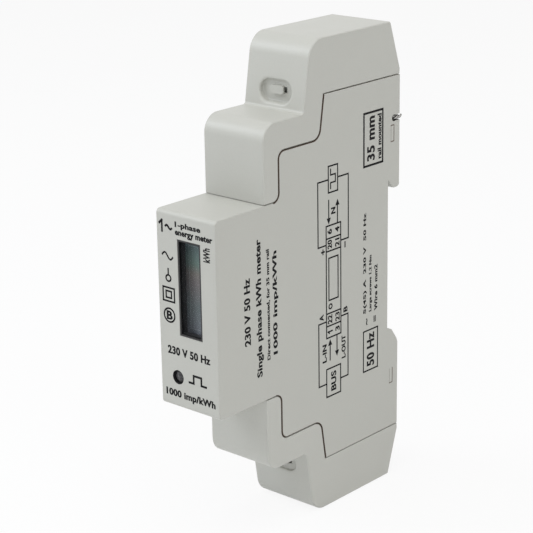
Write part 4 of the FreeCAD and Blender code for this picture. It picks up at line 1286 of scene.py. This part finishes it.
def make_screws():
    """Clamp screws with a chamfered head, a combined drive and a wound thread."""
    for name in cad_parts:
        if "_screw_" not in name:
            continue
        large = name.startswith("power")
        low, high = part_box(name)
        middle = (low + high) / 2
        head_radius = (high.x - low.x) / 2
        head = (2.2 if large else 1.6) * MM
        crest = (1.95 if large else 1.45) * MM
        core = crest - sizes().thread_depth
        pitch = sizes().power_pitch if large else sizes().signal_pitch
        chamfer = 0.2 * MM
        profile = [
            (low.y, 0),
            (low.y, head_radius - chamfer),
            (low.y + chamfer, head_radius),
            (low.y + head - chamfer, head_radius),
            (low.y + head, head_radius - chamfer),
            (low.y + head, core),
            (high.y - 2 * chamfer, core),
            (high.y, core - 2 * chamfer),
            (high.y, 0),
        ]
        shape = bmesh.new()
        lathe(shape, profile, middle.x, middle.z, 28)
        carrier = carrier_of(mesh_of(shape, name))
        blocks = cut_drive(carrier, low, high, head / 2)
        mesh = evaluated(carrier)
        for block in blocks:
            bpy.data.objects.remove(block)
        run = high.y - low.y - head - 3 * chamfer
        values = {
            "Crest Radius": crest,
            "Ridge Radius": pitch * 0.36,
            "Turns": run / pitch,
            "Threaded Length": run,
            "Finish": zinc(),
        }
        thread = grow(screw_thread(), [(0, 0, 0)], [], values)
        thread.transform(Matrix.Translation((middle.x, low.y + head + chamfer, middle.z)))
        mesh = smooth(joined(name, (mesh, thread)), 35)
        link_piece(f"turned_{name}", mesh, zinc(), name, [name])


def make_cages():
    """Folded clamp cages with small teeth in the jaw that holds the wire."""
    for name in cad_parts:
        if "_cage_" not in name:
            continue
        low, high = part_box(name)
        mesh = softened_copy(name, 0.08 * MM, 40)
        wall, margin, count = 0.8 * MM, 1.0 * MM, 5
        values = {
            "Count": count,
            "Start": ((low.x + high.x) / 2, high.y - wall, low.z + margin),
            "Step": (0, 0, (high.z - low.z - 2 * margin) / (count - 1)),
            "Sides": 4,
            "Ridge Radius": sizes().tooth,
            "Ridge Length": high.x - low.x - 2.2 * wall,
            "Ridge Turn": (0, math.pi / 2, 0),
            "Finish": zinc(),
        }
        teeth = grow(ridge_row(), [(0, 0, 0)], [], values)
        mesh = smooth(joined(name, (mesh, teeth)), 40)
        link_piece(f"folded_{name}", mesh, zinc(), name, [name])


def make_inside():
    """Finishes for the boards, their parts, the bars and the dividers."""
    dress(["main_board", "display_board"], board_finish())
    chip = plastic("moulded_chip", paint(34, 35, 37), 0.45, 0.25, 0.1)
    dress(["metering_chip", "microcontroller", "pulse_optocoupler", "bus_transceiver"], chip)
    dress(["isolation_converter"], plastic("converter_black", paint(30, 30, 32), 0.4, 0.2, 0.1))
    dress(["board_connector"], plastic("moulded_connector", paint(40, 40, 42), 0.5, 0.2, 0.1))
    dress(["supply_capacitor"], plastic("moulded_film_box", paint(196, 176, 92), 0.4, 0.1, 0.08))
    dress(["surge_varistor"], plastic("dipped_varistor", paint(48, 92, 156), 0.35, 0.12, 0.12))
    dress(["fusible_resistor"], plastic("coated_resistor", paint(150, 152, 150), 0.5, 0.15, 0.1))
    sleeve = metal("printed_sleeve", paint(70, 78, 96), (1.0, 0.1, 1.0), 0.35)
    dress(["smoothing_capacitor"], sleeve)
    dress(["crystal"], metal("drawn_can", colours().steel, (0.1, 1.0, 1.0), 0.25))
    copper = metal("rolled_copper", colours().copper, (1.0, 0.1, 1.0), 0.3)
    tangs = [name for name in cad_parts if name.startswith("signal_tang")]
    dress(["neutral_bar", "line_in_bar", "line_out_bar", *tangs], copper)
    dress(["current_shunt"], metal("rolled_alloy", colours().alloy, (1.0, 0.1, 1.0), 0.4))
    dividers = [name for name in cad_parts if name.endswith("_divider")]
    dress(dividers, plastic("moulded_divider", colours().divider, 0.55))


# The stage


def white_for_sight(tree):
    """A share that is 1 for rays of the camera, of reflections and through glass."""
    path = add_node(tree, "ShaderNodeLightPath")
    seen = calculate(tree, "MAXIMUM", path.outputs["Is Camera Ray"], path.outputs["Is Glossy Ray"])
    return calculate(tree, "MAXIMUM", seen, path.outputs["Is Transmission Ray"])


def floor_finish():
    """A pale floor that shows white where the object's shadow doesn't fall."""
    material, tree = new_material("pale_floor")
    cloud = noise(tree, object_place(tree), 9.0, 3.0)
    tone = mix_colours(tree, cloud, colours().floor, paint(246, 246, 246))
    values = {"Base Color": tone, "Roughness": 0.9, "Specular IOR Level": 0.1}
    shader = add_node(tree, "ShaderNodeBsdfPrincipled", values)
    white = add_node(tree, "ShaderNodeEmission", {"Color": (1, 1, 1, 1), "Strength": 1.0})
    share = calculate(tree, "MULTIPLY", white_for_sight(tree), 0.88)
    values = {0: share, 1: shader.outputs[0], 2: white.outputs[0]}
    end_material(tree, "ShaderNodeMixShader", values)
    return material


def make_world():
    """White surroundings for the camera that light the meter only softly."""
    world = bpy.data.worlds.new("studio")
    bpy.context.scene.world = world
    world.use_nodes = True
    tree = world.node_tree
    tree.nodes.clear()
    fill = add_node(tree, "ShaderNodeBackground", {"Color": (1, 1, 1, 1), "Strength": 0.45})
    white = add_node(tree, "ShaderNodeBackground", {"Color": (1, 1, 1, 1), "Strength": 1.0})
    values = {0: white_for_sight(tree), 1: fill.outputs[0], 2: white.outputs[0]}
    mix = add_node(tree, "ShaderNodeMixShader", values)
    output = tree.nodes.new("ShaderNodeOutputWorld")
    tree.links.new(mix.outputs[0], output.inputs["Surface"])


def add_lamp(name, place, aim, size, power, tint=(1, 1, 1)):
    """A soft square lamp that shines at a point."""
    data = bpy.data.lights.new(name, "AREA")
    data.shape = "SQUARE"
    data.size = size
    data.energy = power
    data.color = tint
    lamp = bpy.data.objects.new(name, data)
    lamp.location = place
    lamp.rotation_euler = (Vector(aim) - Vector(place)).to_track_quat("-Z", "Y").to_euler()
    bpy.context.scene.collection.objects.link(lamp)


def make_camera():
    """The photograph's camera, in metres, looking along its own back axis."""
    right = Vector((0.74986763, 0.66140769, -0.01544072))
    up = Vector((-0.19288363, 0.24088668, 0.95119373))
    back = Vector((0.63281608, -0.71031805, 0.30820783))
    place = Vector((0.248403, -0.312520, 0.125477))
    focal_pixels = 1741.2
    camera = bpy.data.objects.new("camera", bpy.data.cameras.new("camera"))
    camera.data.sensor_width = SENSOR_WIDTH
    camera.data.lens = focal_pixels * SENSOR_WIDTH / PHOTO_PIXELS
    camera.data.clip_start = 0.01
    camera.matrix_world = Matrix([*zip(right, up, back, place), (0, 0, 0, 1)])
    bpy.context.scene.collection.objects.link(camera)
    bpy.context.scene.camera = camera


def make_stage():
    """Floor, white surroundings, soft lamps and the camera."""
    bpy.context.scene.view_settings.view_transform = "Standard"
    make_camera()
    make_world()
    shape = bmesh.new()
    reach = 1.5
    corners = [(-reach, -reach), (reach, -reach), (reach, reach), (-reach, reach)]
    shape.faces.new([shape.verts.new((x, y, FLOOR_Z)) for x, y in corners])
    mesh = plain_mesh(shape, "floor")
    mesh.materials.append(floor_finish())
    floor = bpy.data.objects.new("floor", mesh)
    bpy.context.scene.collection.objects.link(floor)
    aim, cool = (0, -0.02, 0), (0.88, 0.93, 1.0)
    add_lamp("sky_lamp", (0.1, -0.15, 0.75), aim, 0.7, 2.75)
    add_lamp("front_lamp", (-0.5, -0.45, 0.45), aim, 0.35, 1.95, cool)
    add_lamp("low_lamp", (0.25, -0.8, 0.1), aim, 0.4, 0.62, cool)
    add_lamp("side_lamp", (0.7, -0.1, 0.25), aim, 0.5, 0.82)


# The add-on


class METER_OT_housing(bpy.types.Operator):
    """The moulded case and the lid that closes its left side"""

    bl_idname = "meter.housing"
    bl_label = "Case and lid"

    def execute(self, context):
        make_housing()
        return {"FINISHED"}


class METER_OT_covers(bpy.types.Operator):
    """The two stepped terminal covers with their sealing eyes"""

    bl_idname = "meter.covers"
    bl_label = "Terminal covers"

    def execute(self, context):
        make_covers()
        return {"FINISHED"}


class METER_OT_display(bpy.types.Operator):
    """The window, its bezel, the display and its contact strips"""

    bl_idname = "meter.display"
    bl_label = "Display"

    def execute(self, context):
        make_display()
        return {"FINISHED"}


class METER_OT_lamp(bpy.types.Operator):
    """The pulse lamp under the display"""

    bl_idname = "meter.lamp"
    bl_label = "Pulse lamp"

    def execute(self, context):
        make_lamp()
        return {"FINISHED"}


class METER_OT_front_print(bpy.types.Operator):
    """Ratings, symbols and the pulse mark on the nose"""

    bl_idname = "meter.front_print"
    bl_label = "Print on the nose"

    def execute(self, context):
        print_front()
        return {"FINISHED"}


class METER_OT_side_print(bpy.types.Operator):
    """The wiring diagram and rating lines on the right side"""

    bl_idname = "meter.side_print"
    bl_label = "Print on the side"

    def execute(self, context):
        print_side()
        return {"FINISHED"}


class METER_OT_latches(bpy.types.Operator):
    """The seams round the two latches near the rear edge"""

    bl_idname = "meter.latches"
    bl_label = "Latch seams"

    def execute(self, context):
        draw_latches()
        return {"FINISHED"}


class METER_OT_seal_wire(bpy.types.Operator):
    """The stiff wire that bends back past the rear edge"""

    bl_idname = "meter.seal_wire"
    bl_label = "Sealing wire"

    def execute(self, context):
        make_seal_wire()
        return {"FINISHED"}


class METER_OT_clip(bpy.types.Operator):
    """The sliding rail clip and its folded spring"""

    bl_idname = "meter.clip"
    bl_label = "Rail clip"

    def execute(self, context):
        make_clip()
        return {"FINISHED"}


class METER_OT_screws(bpy.types.Operator):
    """The eight clamp screws with drive and thread"""

    bl_idname = "meter.screws"
    bl_label = "Clamp screws"

    def execute(self, context):
        make_screws()
        return {"FINISHED"}


class METER_OT_cages(bpy.types.Operator):
    """The eight clamp cages with teeth in their jaws"""

    bl_idname = "meter.cages"
    bl_label = "Clamp cages"

    def execute(self, context):
        make_cages()
        return {"FINISHED"}


class METER_OT_inside(bpy.types.Operator):
    """Finishes for the boards, their parts, bars and dividers"""

    bl_idname = "meter.inside"
    bl_label = "Inside"

    def execute(self, context):
        make_inside()
        return {"FINISHED"}


class METER_OT_stage(bpy.types.Operator):
    """Floor, white surroundings, soft lamps and the camera"""

    bl_idname = "meter.stage"
    bl_label = "Stage"

    def execute(self, context):
        make_stage()
        return {"FINISHED"}


OPERATORS = (
    METER_OT_housing,
    METER_OT_covers,
    METER_OT_display,
    METER_OT_lamp,
    METER_OT_front_print,
    METER_OT_side_print,
    METER_OT_latches,
    METER_OT_seal_wire,
    METER_OT_clip,
    METER_OT_screws,
    METER_OT_cages,
    METER_OT_inside,
    METER_OT_stage,
)


class METER_PT_pieces(bpy.types.Panel):
    """Lists the steps that build the meter's looks"""

    bl_idname = "METER_PT_pieces"
    bl_label = "Energy meter"
    bl_space_type = "VIEW_3D"
    bl_region_type = "UI"
    bl_category = "Energy meter"

    def draw(self, context):
        for group in (context.scene.meter_sizes, context.scene.meter_colours):
            box = self.layout.box()
            for name in group.bl_rna.properties.keys():
                if name not in ("rna_type", "name"):
                    box.prop(group, name)
        for operator in OPERATORS:
            self.layout.operator(operator.bl_idname)


CLASSES = (MeterColours, MeterSizes, *OPERATORS, METER_PT_pieces)


def register():
    for item in CLASSES:
        bpy.utils.register_class(item)
    bpy.types.Scene.meter_colours = PointerProperty(type=MeterColours)
    bpy.types.Scene.meter_sizes = PointerProperty(type=MeterSizes)


def unregister():
    del bpy.types.Scene.meter_sizes
    del bpy.types.Scene.meter_colours
    for item in reversed(CLASSES):
        bpy.utils.unregister_class(item)


def main():
    register()
    for operator in OPERATORS:
        group, name = operator.bl_idname.split(".")
        getattr(getattr(bpy.ops, group), name)()
    bpy.context.view_layer.update()


if __name__ == "__main__":
    main()
